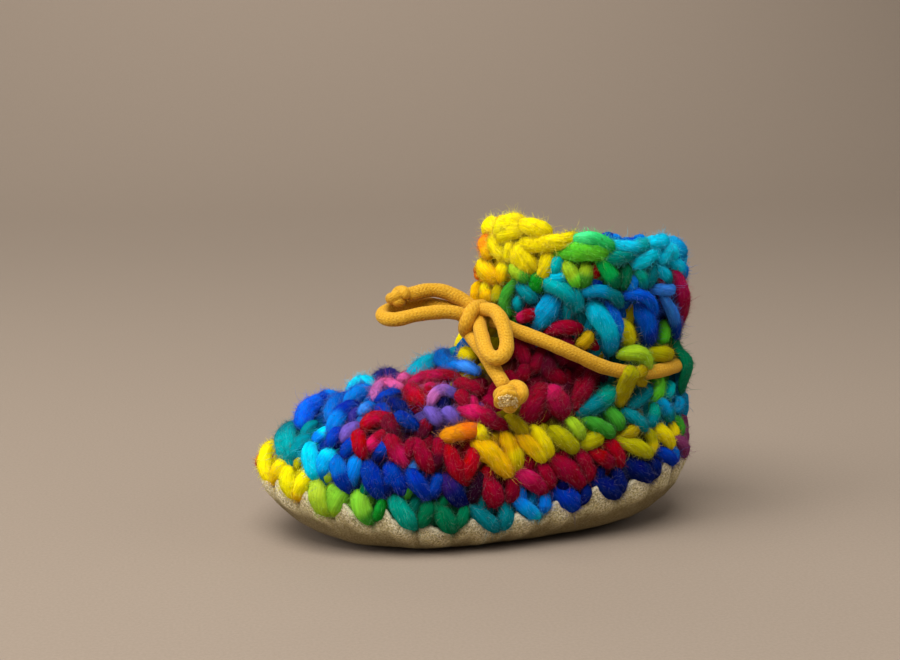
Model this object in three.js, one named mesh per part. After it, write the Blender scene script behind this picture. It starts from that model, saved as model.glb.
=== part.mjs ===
// Baby slipper: a soft suede sole cup turned up all round, a chunky crocheted
// upper sewn to its scalloped edge, a fleece insole, and a braided ankle tie
// with a bow at the front.  Millimetres, +Z up.  The toe points to -X, the heel
// to +X, and the slipper is symmetric about the plane Y = 0 apart from its bow.
import * as THREE from 'three';
import { mergeVertices } from 'three/addons/utils/BufferGeometryUtils.js';

// ---------------------------------------------------------------- sizes
const SOLE_T = 2.0;          // suede thickness
const WALL_T = 6.0;          // crocheted wall, one thick strand and its back loop
const INSOLE_T = 3.2;        // fleece pad
const GAP = 0.40;            // clearance between neighbouring pieces
const STITCHES = 27;         // stitches sewn through the suede edge, once round
const COLS_PER_STITCH = 4;
const STITCH_PHASE = 0.72;   // first stitch hole past the heel, in stitches
const EDGE_SIDE = 2.42;      // height of the sewn edge at the sides, in section numbers
const EDGE_END = 3.24;       // and at toe and heel, where it is turned up further
const EDGE_FALL = 1.4;       // how fast it falls from the ends to the sides
const EDGE_WAVE = 0.33;      // half height of its scallops, in section numbers
const EDGE_GAP = 0.85;       // gap between suede and wool, measured up the wall
const COURSE_DIP = 1.5;      // depth of the furrow between two crochet courses
const COURSE_PHASE = 0.75;   // section fraction where a course stands proudest
const FIRST_FURROW = 4.25;   // furrow above the first two courses
const LIP_RISE = 1.6;        // rounding of the cuff's rim
const WAIST_X = 16;          // where the sole is drawn in
const WAIST_LEN = 20;
const FAR_RIM_DROP = 2.4;    // the far side of the cuff sits a little lower
const CUFF_V = 8;            // first section of the cuff

const CORD_D = 4.2;
const CORD_SIDES = 8;
const CORD_CLEAR = 0.45;     // tie to wool

// One row per closed section of the last, from the flat of the sole to the rim.
// toe/heel: X of the two ends; mid: X of the widest place; half: half width;
// zToe/zSide/zHeel: heights; nToe/nHeel: fullness of the ends; waist: draw-in.
const LAST = [
  { name: 'flat',    toe: -43.0, heel: 43.0, mid: -14, half: 22.0, zHeel: 0.0,  zSide: 0.0,  zToe: 0.0,  nToe: 2.0,  nHeel: 2.2,  waist: 0.05 },
  { name: 'round',   toe: -54.0, heel: 52.5, mid: -14, half: 28.0, zHeel: 4.6,  zSide: 1.6,  zToe: 4.0,  nToe: 2.1,  nHeel: 2.3,  waist: 0.05 },
  { name: 'bilge',   toe: -61.5, heel: 60.0, mid: -14, half: 32.0, zHeel: 12.0, zSide: 6.5,  zToe: 11.0, nToe: 2.15, nHeel: 2.4,  waist: 0.045 },
  { name: 'feather', toe: -65.0, heel: 62.5, mid: -13, half: 33.0, zHeel: 19.0, zSide: 13.0, zToe: 17.5, nToe: 2.2,  nHeel: 2.45, waist: 0.04 },
  { name: 'round2',  toe: -63.2, heel: 64.0, mid: -11, half: 33.0, zHeel: 28.5, zSide: 23.5, zToe: 27.0, nToe: 2.25, nHeel: 2.45, waist: 0.03 },
  { name: 'round3',  toe: -55.6, heel: 63.5, mid: -6,  half: 31.5, zHeel: 37.0, zSide: 33.5, zToe: 35.0, nToe: 2.25, nHeel: 2.4,  waist: 0.015 },
  { name: 'round4',  toe: -39.0, heel: 62.0, mid: 4,   half: 28.0, zHeel: 45.0, zSide: 42.6, zToe: 41.8, nToe: 2.2,  nHeel: 2.3,  waist: 0 },
  { name: 'instep',  toe: -17.0, heel: 59.5, mid: 15,  half: 24.8, zHeel: 51.5, zSide: 49.8, zToe: 48.4, nToe: 2.1,  nHeel: 2.2,  waist: 0 },
  { name: 'ankle',   toe: -2.0,  heel: 58.5, mid: 26,  half: 24.5, zHeel: 57.5, zSide: 59.0, zToe: 59.5, nToe: 2.1,  nHeel: 2.2,  waist: 0 },
  { name: 'cuff1',   toe: 1.0,   heel: 60.0, mid: 30,  half: 26.0, zHeel: 66.0, zSide: 67.5, zToe: 70.0, nToe: 2.1,  nHeel: 2.2,  waist: 0 },
  { name: 'cuff2',   toe: 1.5,   heel: 61.5, mid: 32,  half: 27.0, zHeel: 75.0, zSide: 76.5, zToe: 81.0, nToe: 2.1,  nHeel: 2.2,  waist: 0 },
  { name: 'rim',     toe: 2.5,   heel: 62.0, mid: 32,  half: 27.5, zHeel: 84.0, zSide: 85.5, zToe: 92.0, nToe: 2.1,  nHeel: 2.2,  waist: 0 },
];
const TOP_V = LAST.length - 1;

// The tie's route round the ankle: u is the turn round the section (0 heel,
// 0.25 near side, 0.5 toe, 0.75 far side), v the section number.
const TIE_ROUTE = [
  { u: 0.420, v: 8.33 },
  { u: 0.400, v: 8.28 },
  { u: 0.364, v: 8.14 },
  { u: 0.323, v: 7.97 },
  { u: 0.283, v: 7.78 },
  { u: 0.247, v: 7.56 },
  { u: 0.205, v: 7.15 },
  { u: 0.153, v: 6.62 },
  { u: 0.105, v: 6.48 },
  { u: 0.050, v: 6.40 },
  { u: 0.000, v: 6.40 },
  { u: -0.060, v: 6.42 },
  { u: -0.120, v: 6.55 },
  { u: -0.180, v: 6.90 },
  { u: -0.240, v: 7.45 },
  { u: -0.300, v: 7.85 },
  { u: -0.360, v: 8.14 },
  { u: -0.420, v: 8.32 },
  { u: -0.475, v: 8.38 },
  { u: -0.533, v: 8.37 },
];

// The bow: distances from the middle of its knot.
const KNOT = { x: -3.1, y: -10.8, z: 63.2, rx: 4.5, ry: 4.2, rz: 4.4 };
const BOW = {
  tie_loop_left: [
    { x: -5.3, y: -2.3, z: 0.8 },  { x: -9.9, y: -1.9, z: 1.5 },
    { x: -18.4, y: -1.0, z: 1.3 }, { x: -24.8, y: 0.6, z: 0.7 },
    { x: -27.9, y: 4.6, z: 1.2 },  { x: -26.7, y: 8.2, z: 2.4 },
    { x: -21.5, y: 9.2, z: 3.0 },  { x: -13.9, y: 7.8, z: 2.8 },
    { x: -8.0, y: 5.2, z: 1.8 },   { x: -4.7, y: 3.6, z: 0.9 },
  ],
  tie_tail_left: [
    { x: -1.9, y: 1.8, z: 4.8 },   { x: -5.6, y: 3.6, z: 7.5 },
    { x: -10.3, y: 4.8, z: 9.2 },  { x: -15.2, y: 5.0, z: 8.9 },
    { x: -18.0, y: 4.9, z: 8.0 },
  ],
  tie_loop_low: [
    { x: 1.4, y: -3.2, z: 5.2 },   { x: 3.1, y: -6.6, z: 5.4 },
    { x: 5.3, y: -10.2, z: 3.4 },  { x: 6.6, y: -13.4, z: -0.3 },
    { x: 5.9, y: -16.6, z: -4.1 }, { x: 3.3, y: -18.8, z: -6.6 },
    { x: 0.3, y: -18.4, z: -7.2 }, { x: -1.4, y: -15.4, z: -5.4 },
    { x: -1.5, y: -10.6, z: -2.6 },{ x: -0.6, y: -5.3, z: -0.7 },
  ],
  tie_tail_low: [
    { x: -3.2, y: -4.3, z: -5.6 }, { x: -2.6, y: -8.0, z: -7.2 },
    { x: -1.4, y: -11.6, z: -8.8 },{ x: 0.2, y: -15.8, z: -10.9 },
    { x: 2.2, y: -19.9, z: -13.8 },
  ],
};
const END_KNOTS = {
  tie_tail_left_knot: { x: -22.1, y: 5.0, z: 6.9, rx: 3.9, ry: 3.4, rz: 2.9 },
  tie_tail_low_knot:  { x: 4.2, y: -23.2, z: -17.2, rx: 4.6, ry: 3.9, rz: 5.2 },
};

const COLOUR = {
  suede: 0xa89a7a, wool: 0x2b6fb8, fleece: 0xd9cfb8, cord: 0xe0ab35,
};

// ---------------------------------------------------------------- the last
// Smooth value of one column of LAST at a fractional section number.
function column(key, v) {
  const n = LAST.length;
  const c = Math.min(Math.max(v, 0), n - 1);
  const i = Math.min(Math.floor(c), n - 2);
  const t = c - i;
  const p0 = LAST[Math.max(i - 1, 0)][key];
  const p1 = LAST[i][key];
  const p2 = LAST[i + 1][key];
  const p3 = LAST[Math.min(i + 2, n - 1)][key];
  return 0.5 * (2 * p1 + (p2 - p0) * t + (2 * p0 - 5 * p1 + 4 * p2 - p3) * t * t
    + (3 * p1 - p0 - 3 * p2 + p3) * t * t * t);
}

// Outer form: an egg-shaped section with fuller or sharper ends.
function last(u, v) {
  const a = 2 * Math.PI * u;
  const ca = Math.cos(a);
  const sa = Math.sin(a);
  const back = ca >= 0;
  const n = column(back ? 'nHeel' : 'nToe', v);
  const mid = column('mid', v);
  const reach = back ? column('heel', v) - mid : mid - column('toe', v);
  const x = mid + reach * Math.sign(ca) * Math.abs(ca) ** (2 / n);
  const draw = 1 - column('waist', v) * Math.exp(-(((x - WAIST_X) / WAIST_LEN) ** 2));
  const side = Math.sign(sa) * Math.abs(sa) ** (2 / n);
  const y = -column('half', v) * side * draw;
  const zSide = column('zSide', v);
  let z = zSide + (column(back ? 'zHeel' : 'zToe', v) - zSide) * ca * ca;
  const cuff = Math.max(0, (v - CUFF_V) / (TOP_V - CUFF_V));
  z -= FAR_RIM_DROP * cuff * cuff * Math.max(0, -side);
  return new THREE.Vector3(x, y, z);
}

// Outward direction of that form.
function outward(u, v) {
  const hu = 2e-4;
  const hv = 2e-3;
  const v0 = Math.max(v - hv, 0);
  const v1 = Math.min(v + hv, TOP_V);
  const du = last(u + hu, v).sub(last(u - hu, v));
  const dv = last(u, v1).sub(last(u, v0));
  return dv.cross(du).normalize();
}

// A point sunk below the outer form by a depth along its normal.
function sunk(u, v, depth) {
  return last(u, v).addScaledVector(outward(u, v), -depth);
}

// Turns u spaced evenly by length along the feather section.
function evenTurns(count, first) {
  const fine = 2000;
  const run = [0];
  let prev = last(0, 3);
  for (let i = 1; i <= fine; i++) {
    const p = last(i / fine, 3);
    run.push(run[i - 1] + p.distanceTo(prev));
    prev = p;
  }
  const turns = [];
  for (let i = 0; i < count; i++) {
    const want = run[fine] * ((i / count + first + 1) % 1);
    let k = 0;
    while (k < fine - 1 && run[k + 1] < want) k++;
    turns.push((k + (want - run[k]) / (run[k + 1] - run[k])) / fine);
  }
  return turns;
}

const COLS = STITCHES * COLS_PER_STITCH;
const TURNS = evenTurns(COLS, (STITCH_PHASE - 1) / STITCHES);
const PAD_TURNS = evenTurns(STITCHES * 2, 0);

// Scalloped edge where wool and suede are sewn: low at each stitch hole.
function edgeV(u, i) {
  const end = Math.abs(Math.cos(2 * Math.PI * u)) ** EDGE_FALL;
  const scallop = Math.cos((2 * Math.PI * i) / COLS_PER_STITCH);
  return EDGE_SIDE + (EDGE_END - EDGE_SIDE) * end - EDGE_WAVE * scallop;
}

// The same edge moved a distance up or down the wall.
function shiftedV(u, v, millimetres) {
  const h = 0.05;
  return v + millimetres / (last(u, v + h).distanceTo(last(u, v - h)) / (2 * h));
}

// Furrows between the crochet courses, as a depth below the outer form.
const furrow = (v) => COURSE_DIP * 0.5 * (1 - Math.cos(2 * Math.PI * (v - COURSE_PHASE)));

// ---------------------------------------------------------------- lofting
// Skins closed rings of equal length.  A ring list either closes on itself
// (a hollow wall) or is capped at both ends (a cup or a pad).
function loft(rings, closed) {
  const n = rings[0].length;
  const pos = [];
  const tri = [];
  for (const ring of rings) for (const p of ring) pos.push(p.x, p.y, p.z);
  const bands = closed ? rings.length : rings.length - 1;
  for (let r = 0; r < bands; r++) {
    const a = r * n;
    const b = ((r + 1) % rings.length) * n;
    for (let i = 0; i < n; i++) {
      const j = (i + 1) % n;
      tri.push(a + i, b + i, a + j, a + j, b + i, b + j);
    }
  }
  if (!closed) {
    for (const [r, turn] of [[0, 1], [rings.length - 1, -1]]) {
      const c = new THREE.Vector3();
      for (const p of rings[r]) c.addScaledVector(p, 1 / n);
      const hub = pos.length / 3;
      pos.push(c.x, c.y, c.z);
      for (let i = 0; i < n; i++) {
        const j = (i + 1) % n;
        if (turn > 0) tri.push(hub, r * n + i, r * n + j);
        else tri.push(hub, r * n + j, r * n + i);
      }
    }
  }
  const g = new THREE.BufferGeometry();
  g.setAttribute('position', new THREE.Float32BufferAttribute(pos, 3));
  g.setIndex(tri);
  return g;
}

// ---------------------------------------------------------------- sole
function soleGeometry() {
  const rim = TURNS.map((u, i) => shiftedV(u, edgeV(u, i), -EDGE_GAP));
  const rings = [];
  for (const v of [0, 0.5, 1.0, 1.55]) rings.push(TURNS.map((u) => last(u, v)));
  rings.push(TURNS.map((u, i) => last(u, 0.5 * (1.55 + rim[i]))));
  rings.push(TURNS.map((u, i) => last(u, rim[i])));
  rings.push(TURNS.map((u, i) => sunk(u, rim[i], SOLE_T)));
  for (const v of [1.55, 1.0, 0.5]) rings.push(TURNS.map((u) => sunk(u, v, SOLE_T)));
  rings.push(TURNS.map((u) => { const p = sunk(u, 0.04, SOLE_T); p.z = SOLE_T; return p; }));
  return loft(rings, false);
}

// ---------------------------------------------------------------- insole
function insoleGeometry() {
  const low = SOLE_T + GAP;
  const rings = [];
  rings.push(PAD_TURNS.map((u) => { const p = sunk(u, 0.04, low); p.z = low; return p; }));
  for (const v of [0.5, 1.0, 1.45]) rings.push(PAD_TURNS.map((u) => sunk(u, v, low)));
  for (const v of [1.45, 1.0, 0.5]) rings.push(PAD_TURNS.map((u) => sunk(u, v, low + INSOLE_T)));
  rings.push(PAD_TURNS.map((u) => {
    const p = sunk(u, 0.04, low + INSOLE_T);
    p.z = low + INSOLE_T;
    return p;
  }));
  return loft(rings, false);
}

// ---------------------------------------------------------------- upper
function upperGeometry() {
  const rings = [];
  const climb = (u, i, part) => edgeV(u, i) + (FIRST_FURROW - edgeV(u, i)) * part;
  rings.push(TURNS.map((u, i) => last(u, edgeV(u, i))));
  for (const part of [0.3, 0.65]) {
    rings.push(TURNS.map((u, i) => sunk(u, climb(u, i, part), COURSE_DIP * 0.5 * part * part)));
  }
  for (let v = FIRST_FURROW; v < TOP_V; v += 0.5) {
    rings.push(TURNS.map((u) => sunk(u, v, furrow(v))));
  }
  rings.push(TURNS.map((u) => sunk(u, TOP_V, COURSE_DIP * 0.4)));
  rings.push(TURNS.map((u) => {
    const p = sunk(u, TOP_V, WALL_T * 0.5);
    p.z += LIP_RISE;
    return p;
  }));
  for (const v of [TOP_V, 9.9, 8.9, 8.1, 7.3, 6.4, 5.4, FIRST_FURROW]) {
    rings.push(TURNS.map((u) => sunk(u, v, WALL_T)));
  }
  rings.push(TURNS.map((u, i) => sunk(u, climb(u, i, 0.5), WALL_T)));
  rings.push(TURNS.map((u, i) => sunk(u, edgeV(u, i), WALL_T)));
  rings.push(TURNS.map((u, i) => sunk(u, edgeV(u, i), SOLE_T)));
  return loft(rings, true);
}

// ---------------------------------------------------------------- tie
function cordGeometry(points, steps) {
  const curve = new THREE.CatmullRomCurve3(points, false, 'centripetal');
  const section = new THREE.Shape();
  for (let i = 0; i < CORD_SIDES; i++) {
    const a = (2 * Math.PI * (i + 0.5)) / CORD_SIDES;
    const x = (CORD_D / 2) * Math.cos(a);
    const y = (CORD_D / 2) * Math.sin(a);
    if (i === 0) section.moveTo(x, y);
    else section.lineTo(x, y);
  }
  section.closePath();
  const g = new THREE.ExtrudeGeometry(section, { steps, extrudePath: curve, bevelEnabled: false });
  return welded(g);
}

function welded(g) {
  g.deleteAttribute('normal');
  g.deleteAttribute('uv');
  return mergeVertices(g, 1e-4);
}

function bandGeometry() {
  const out = CORD_D / 2 + CORD_CLEAR;
  const points = TIE_ROUTE.map((r) => sunk(r.u, r.v, -out));
  return cordGeometry(points, 34);
}

function ball(k) {
  const g = new THREE.SphereGeometry(1, 14, 9);
  g.scale(k.rx, k.ry, k.rz);
  g.rotateX(Math.PI / 2);
  return welded(g);
}

// ---------------------------------------------------------------- assembly
const slipper = new THREE.Group();
slipper.name = 'baby_slipper';

function add(name, geometry, colour, roughness) {
  const mesh = new THREE.Mesh(geometry, new THREE.MeshStandardMaterial({ color: colour, roughness, metalness: 0 }));
  mesh.name = name;
  slipper.add(mesh);
  return mesh;
}

add('sole', soleGeometry(), COLOUR.suede, 0.95);
add('insole', insoleGeometry(), COLOUR.fleece, 1.0);
add('upper', upperGeometry(), COLOUR.wool, 0.9);
add('tie_band', bandGeometry(), COLOUR.cord, 0.8);

const knot = add('tie_knot', ball({ rx: KNOT.rx, ry: KNOT.rz, rz: KNOT.ry }), COLOUR.cord, 0.8);
knot.position.set(KNOT.x, KNOT.y, KNOT.z);

for (const [name, rows] of Object.entries(BOW)) {
  const points = rows.map((r) => new THREE.Vector3(r.x, r.y, r.z));
  const mesh = add(name, cordGeometry(points, rows.length > 6 ? 16 : 7), COLOUR.cord, 0.8);
  mesh.position.set(KNOT.x, KNOT.y, KNOT.z);
}
for (const [name, k] of Object.entries(END_KNOTS)) {
  const mesh = add(name, ball({ rx: k.rx, ry: k.rz, rz: k.ry }), COLOUR.cord, 0.85);
  mesh.position.set(KNOT.x + k.x, KNOT.y + k.y, KNOT.z + k.z);
}

// The origin is under the middle of the shoe itself, on the floor.
const box = new THREE.Box3();
for (const name of ['sole', 'insole', 'upper', 'tie_band']) {
  box.expandByObject(slipper.getObjectByName(name), true);
}
const middle = box.getCenter(new THREE.Vector3());
slipper.position.set(-middle.x, -middle.y, -box.min.z);

export default slipper;
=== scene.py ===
import math
import bpy
import numpy as np
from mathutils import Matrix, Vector


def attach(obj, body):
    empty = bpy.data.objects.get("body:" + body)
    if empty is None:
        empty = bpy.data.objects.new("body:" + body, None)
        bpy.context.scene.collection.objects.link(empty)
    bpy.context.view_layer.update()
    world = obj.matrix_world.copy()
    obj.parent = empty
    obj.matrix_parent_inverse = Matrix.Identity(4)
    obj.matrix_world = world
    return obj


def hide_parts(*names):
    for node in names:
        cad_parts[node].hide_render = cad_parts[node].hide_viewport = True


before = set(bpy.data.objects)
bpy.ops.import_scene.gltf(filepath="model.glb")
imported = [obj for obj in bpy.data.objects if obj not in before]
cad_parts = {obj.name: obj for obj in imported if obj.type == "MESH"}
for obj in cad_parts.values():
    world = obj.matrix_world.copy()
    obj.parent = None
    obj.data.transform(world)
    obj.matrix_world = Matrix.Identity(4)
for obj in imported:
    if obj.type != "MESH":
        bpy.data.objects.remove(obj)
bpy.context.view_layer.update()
rng = np.random.default_rng(11)

# ============================================================ sizes, mm
SHIFT = np.array([-0.127, -0.027, 0.0])   # from the last's own centre to the frame
STITCHES = 27                             # stitches round the suede edge
STITCH_PHASE = 0.72                       # first stitch hole past the heel
EDGE_SIDE, EDGE_END, EDGE_FALL, EDGE_WAVE = 2.42, 3.24, 1.4, 0.33
SUEDE_T = 2.0
CORD_D = 4.2
CORD_CLEAR = 0.45
KNOT = np.array([-3.1, -10.8, 63.2])

# ============================================================ camera
AZIMUTH, ELEVATION, DISTANCE = math.radians(-12), math.radians(10.5), 441.98
TARGET = np.array([-8.82, 0.0, 58.67])
bpy.context.scene.view_settings.view_transform = 'Standard'


def add_camera():
    data = bpy.data.cameras.new("camera")
    data.lens, data.sensor_width, data.clip_start = 60.0, 36.0, 0.01
    obj = bpy.data.objects.new("camera", data)
    bpy.context.scene.collection.objects.link(obj)
    back = Vector((math.sin(AZIMUTH) * math.cos(ELEVATION),
                   -math.cos(AZIMUTH) * math.cos(ELEVATION), math.sin(ELEVATION)))
    obj.location = Vector((TARGET + SHIFT) / 1000) + back * DISTANCE / 1000
    obj.rotation_euler = back.to_track_quat('Z', 'Y').to_euler()
    bpy.context.scene.camera = obj


add_camera()

# ============================================================ colours
# ice, royal and mint are brighter copies of cyan, blue and jade: painted light on strands that fall in shade; wine is a
# darker crimson: painted shade
YARN = {
    "yellow": (255, 234, 8), "gold": (255, 199, 5), "ochre": (204, 168, 14),
    "orange": (246, 126, 16), "red": (176, 4, 33), "crimson": (150, 5, 44),
    "rose": (209, 24, 96), "pink": (236, 100, 174), "plum": (88, 12, 42),
    "purple": (56, 28, 116), "lavender": (111, 87, 187), "navy": (4, 25, 107),
    "blue": (2, 56, 179), "azure": (2, 127, 234), "sky": (60, 146, 255),
    "cyan": (0, 216, 255), "teal": (0, 136, 150), "sea": (0, 166, 144),
    "emerald": (0, 119, 78), "green": (64, 160, 46), "lime": (167, 207, 38),
    "chart": (189, 186, 7), "leaf": (109, 230, 52), "jade": (8, 188, 84),
    "olive": (183, 164, 7), "aqua": (0, 179, 185), "lagoon": (0, 150, 205), "mauve": (148, 64, 115), "aubergine": (46, 8, 37),
    "wine": (137, 7, 40), "lilac": (208, 112, 190), "violet": (46, 44, 140), "ice": (4, 216, 255),
    "mint": (82, 250, 150), "royal": (2, 102, 243), "ink": (8, 14, 72), "fern": (16, 140, 36),
    "amber": (240, 152, 14), "sprout": (198, 234, 60), "spring": (138, 212, 54),
}


def linear(rgb):
    c = np.asarray(rgb, float) / 255
    return np.where(c <= 0.04045, c / 12.92, ((c + 0.055) / 1.055) ** 2.4)


YARN = {k: linear(v) for k, v in YARN.items()}

# ============================================================ the last
# columns: toe, heel, mid, half, z at heel, side and toe, roundness of toe and heel, waist
LAST = np.array([
    [-43.0, 43.0, -14, 22.0, 0.0, 0.0, 0.0, 2.0, 2.2, .05],      # flat
    [-54.0, 52.5, -14, 28.0, 4.6, 1.6, 4.0, 2.1, 2.3, .05],      # round
    [-61.5, 60.0, -14, 32.0, 12.0, 6.5, 11.0, 2.15, 2.4, .045],  # bilge
    [-65.0, 62.5, -13, 33.0, 19.0, 13.0, 17.5, 2.2, 2.45, .04],  # feather
    [-63.2, 64.0, -11, 33.0, 28.5, 23.5, 27.0, 2.25, 2.45, .03],
    [-55.6, 63.5, -6, 31.5, 37.0, 33.5, 35.0, 2.25, 2.4, .015],
    [-39.0, 62.0, 4, 28.0, 45.0, 42.6, 41.8, 2.2, 2.3, 0],
    [-17.0, 59.5, 15, 24.8, 51.5, 49.8, 48.4, 2.1, 2.2, 0],      # instep
    [-2.0, 58.5, 26, 24.5, 57.5, 59.0, 59.5, 2.1, 2.2, 0],       # ankle
    [1.0, 60.0, 30, 26.0, 66.0, 67.5, 70.0, 2.1, 2.2, 0],
    [1.5, 61.5, 32, 27.0, 75.0, 76.5, 81.0, 2.1, 2.2, 0],
    [2.5, 62.0, 32, 27.5, 84.0, 85.5, 92.0, 2.1, 2.2, 0],        # rim
])
TOP_V = 11.0
WAIST_X, WAIST_LEN, FAR_RIM_DROP, CUFF_V = 16.0, 20.0, 2.4, 8.0


def section(v):
    i = np.minimum(v.astype(int), len(LAST) - 2)
    t = (v - i)[..., None]
    p0, p1 = LAST[np.maximum(i - 1, 0)], LAST[i]
    p2, p3 = LAST[i + 1], LAST[np.minimum(i + 2, len(LAST) - 1)]
    return 0.5 * (2 * p1 + (p2 - p0) * t + (2 * p0 - 5 * p1 + 4 * p2 - p3) * t ** 2
                  + (3 * p1 - p0 - 3 * p2 + p3) * t ** 3)


def last_in(u, v):
    toe, heel, mid, half, z_heel, z_side, z_toe, n_toe, n_heel, waist = np.moveaxis(section(v), -1, 0)
    a = 2 * np.pi * u
    c, s = np.cos(a), np.sin(a)
    back = c >= 0
    n = np.where(back, n_heel, n_toe)
    x = mid + np.where(back, heel - mid, mid - toe) * np.sign(c) * np.abs(c) ** (2 / n)
    side = np.sign(s) * np.abs(s) ** (2 / n)
    y = -half * side * (1 - waist * np.exp(-((x - WAIST_X) / WAIST_LEN) ** 2))
    z = z_side + (np.where(back, z_heel, z_toe) - z_side) * c * c
    z = z - FAR_RIM_DROP * np.maximum(0, (v - CUFF_V) / 3) ** 2 * np.maximum(0, -side)
    return np.stack([x, y, z], -1)


def last(u, v):
    """The outside of the slipper at turn u (0 heel, .25 near side, .5 toe) and section v."""
    u, v = np.broadcast_arrays(np.asarray(u, float), np.asarray(v, float))
    p = last_in(u, np.clip(v, 0, TOP_V))
    over = np.maximum(v - TOP_V, 0)
    if over.any():
        up = last_in(u, np.full_like(v, TOP_V)) - last_in(u, np.full_like(v, TOP_V - 0.1))
        p = p + up / np.linalg.norm(up, axis=-1, keepdims=True) * (over * 9.0)[..., None]
    return p


def unit(x):
    return x / np.maximum(np.linalg.norm(x, axis=-1, keepdims=True), 1e-9)


def outward(u, v):
    u, v = np.broadcast_arrays(np.asarray(u, float), np.asarray(v, float))
    du = last(u + 1e-3, v) - last(u - 1e-3, v)
    dv = last(u, v + 0.01) - last(u, np.maximum(v - 0.01, 0))
    return unit(np.cross(dv, du))


SIGN = -np.sign(outward(0.25, 4.0)[1])


def sunk(u, v, depth):
    return last(u, v) - SIGN * outward(u, v) * np.asarray(depth, float)[..., None]


def row_turns(v, count, phase):
    """count turns spaced evenly by length along the section v."""
    fine = np.linspace(0, 1, 2001)
    p = last(fine, np.full_like(fine, v))
    run = np.concatenate([[0], np.cumsum(np.linalg.norm(np.diff(p, axis=0), axis=1))])
    want = ((np.arange(count) + phase) / count % 1) * run[-1]
    return np.interp(want, run, fine), run[-1] / count


def per_mm(u, v):
    """u and v steps for one millimetre along the row and up the wall."""
    ku = np.linalg.norm(last(u + 1e-3, v) - last(u - 1e-3, v), axis=-1) / 2e-3
    kv = np.linalg.norm(last(u, v + 0.02) - last(u, v - 0.02), axis=-1) / 0.04
    return 1 / np.maximum(ku, 20), 1 / np.maximum(kv, 4)


# ============================================================ meshes
def make_piece(name, verts, quads, tris, attrs, material, uv=None, stage=False):
    """A mesh object from arrays in millimetres, riding on the slipper."""
    me = bpy.data.meshes.new(name)
    quads = np.asarray(quads, np.int32).reshape(-1, 4)
    tris = np.asarray(tris, np.int32).reshape(-1, 3)
    index = np.concatenate([quads.ravel(), tris.ravel()])
    starts = np.concatenate([np.arange(len(quads)) * 4, len(quads) * 4 + np.arange(len(tris)) * 3])
    me.vertices.add(len(verts))
    me.vertices.foreach_set("co", ((np.asarray(verts) + SHIFT) / 1000).astype(np.float32).ravel())
    me.loops.add(len(index))
    me.loops.foreach_set("vertex_index", index.astype(np.int32))
    me.polygons.add(len(starts))
    me.polygons.foreach_set("loop_start", starts.astype(np.int32))
    me.update(calc_edges=True)
    me.polygons.foreach_set("use_smooth", np.ones(len(starts), bool))
    for key, values in attrs.items():
        values = np.asarray(values, np.float32)
        if values.ndim == 1:
            me.attributes.new(key, 'FLOAT', 'POINT').data.foreach_set("value", values)
        elif values.shape[1] == 4:
            me.attributes.new(key, 'FLOAT_COLOR', 'POINT').data.foreach_set("color", values.ravel())
        else:
            me.attributes.new(key, 'FLOAT_VECTOR', 'POINT').data.foreach_set("vector", values.ravel())
    if uv is not None:
        me.uv_layers.new(name="OFBake").data.foreach_set("uv", np.asarray(uv, np.float32).ravel())
    me.materials.append(material)
    obj = bpy.data.objects.new(name, me)
    bpy.context.scene.collection.objects.link(obj)
    if stage:
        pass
    else:
        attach(obj, "root")
    return obj


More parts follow.
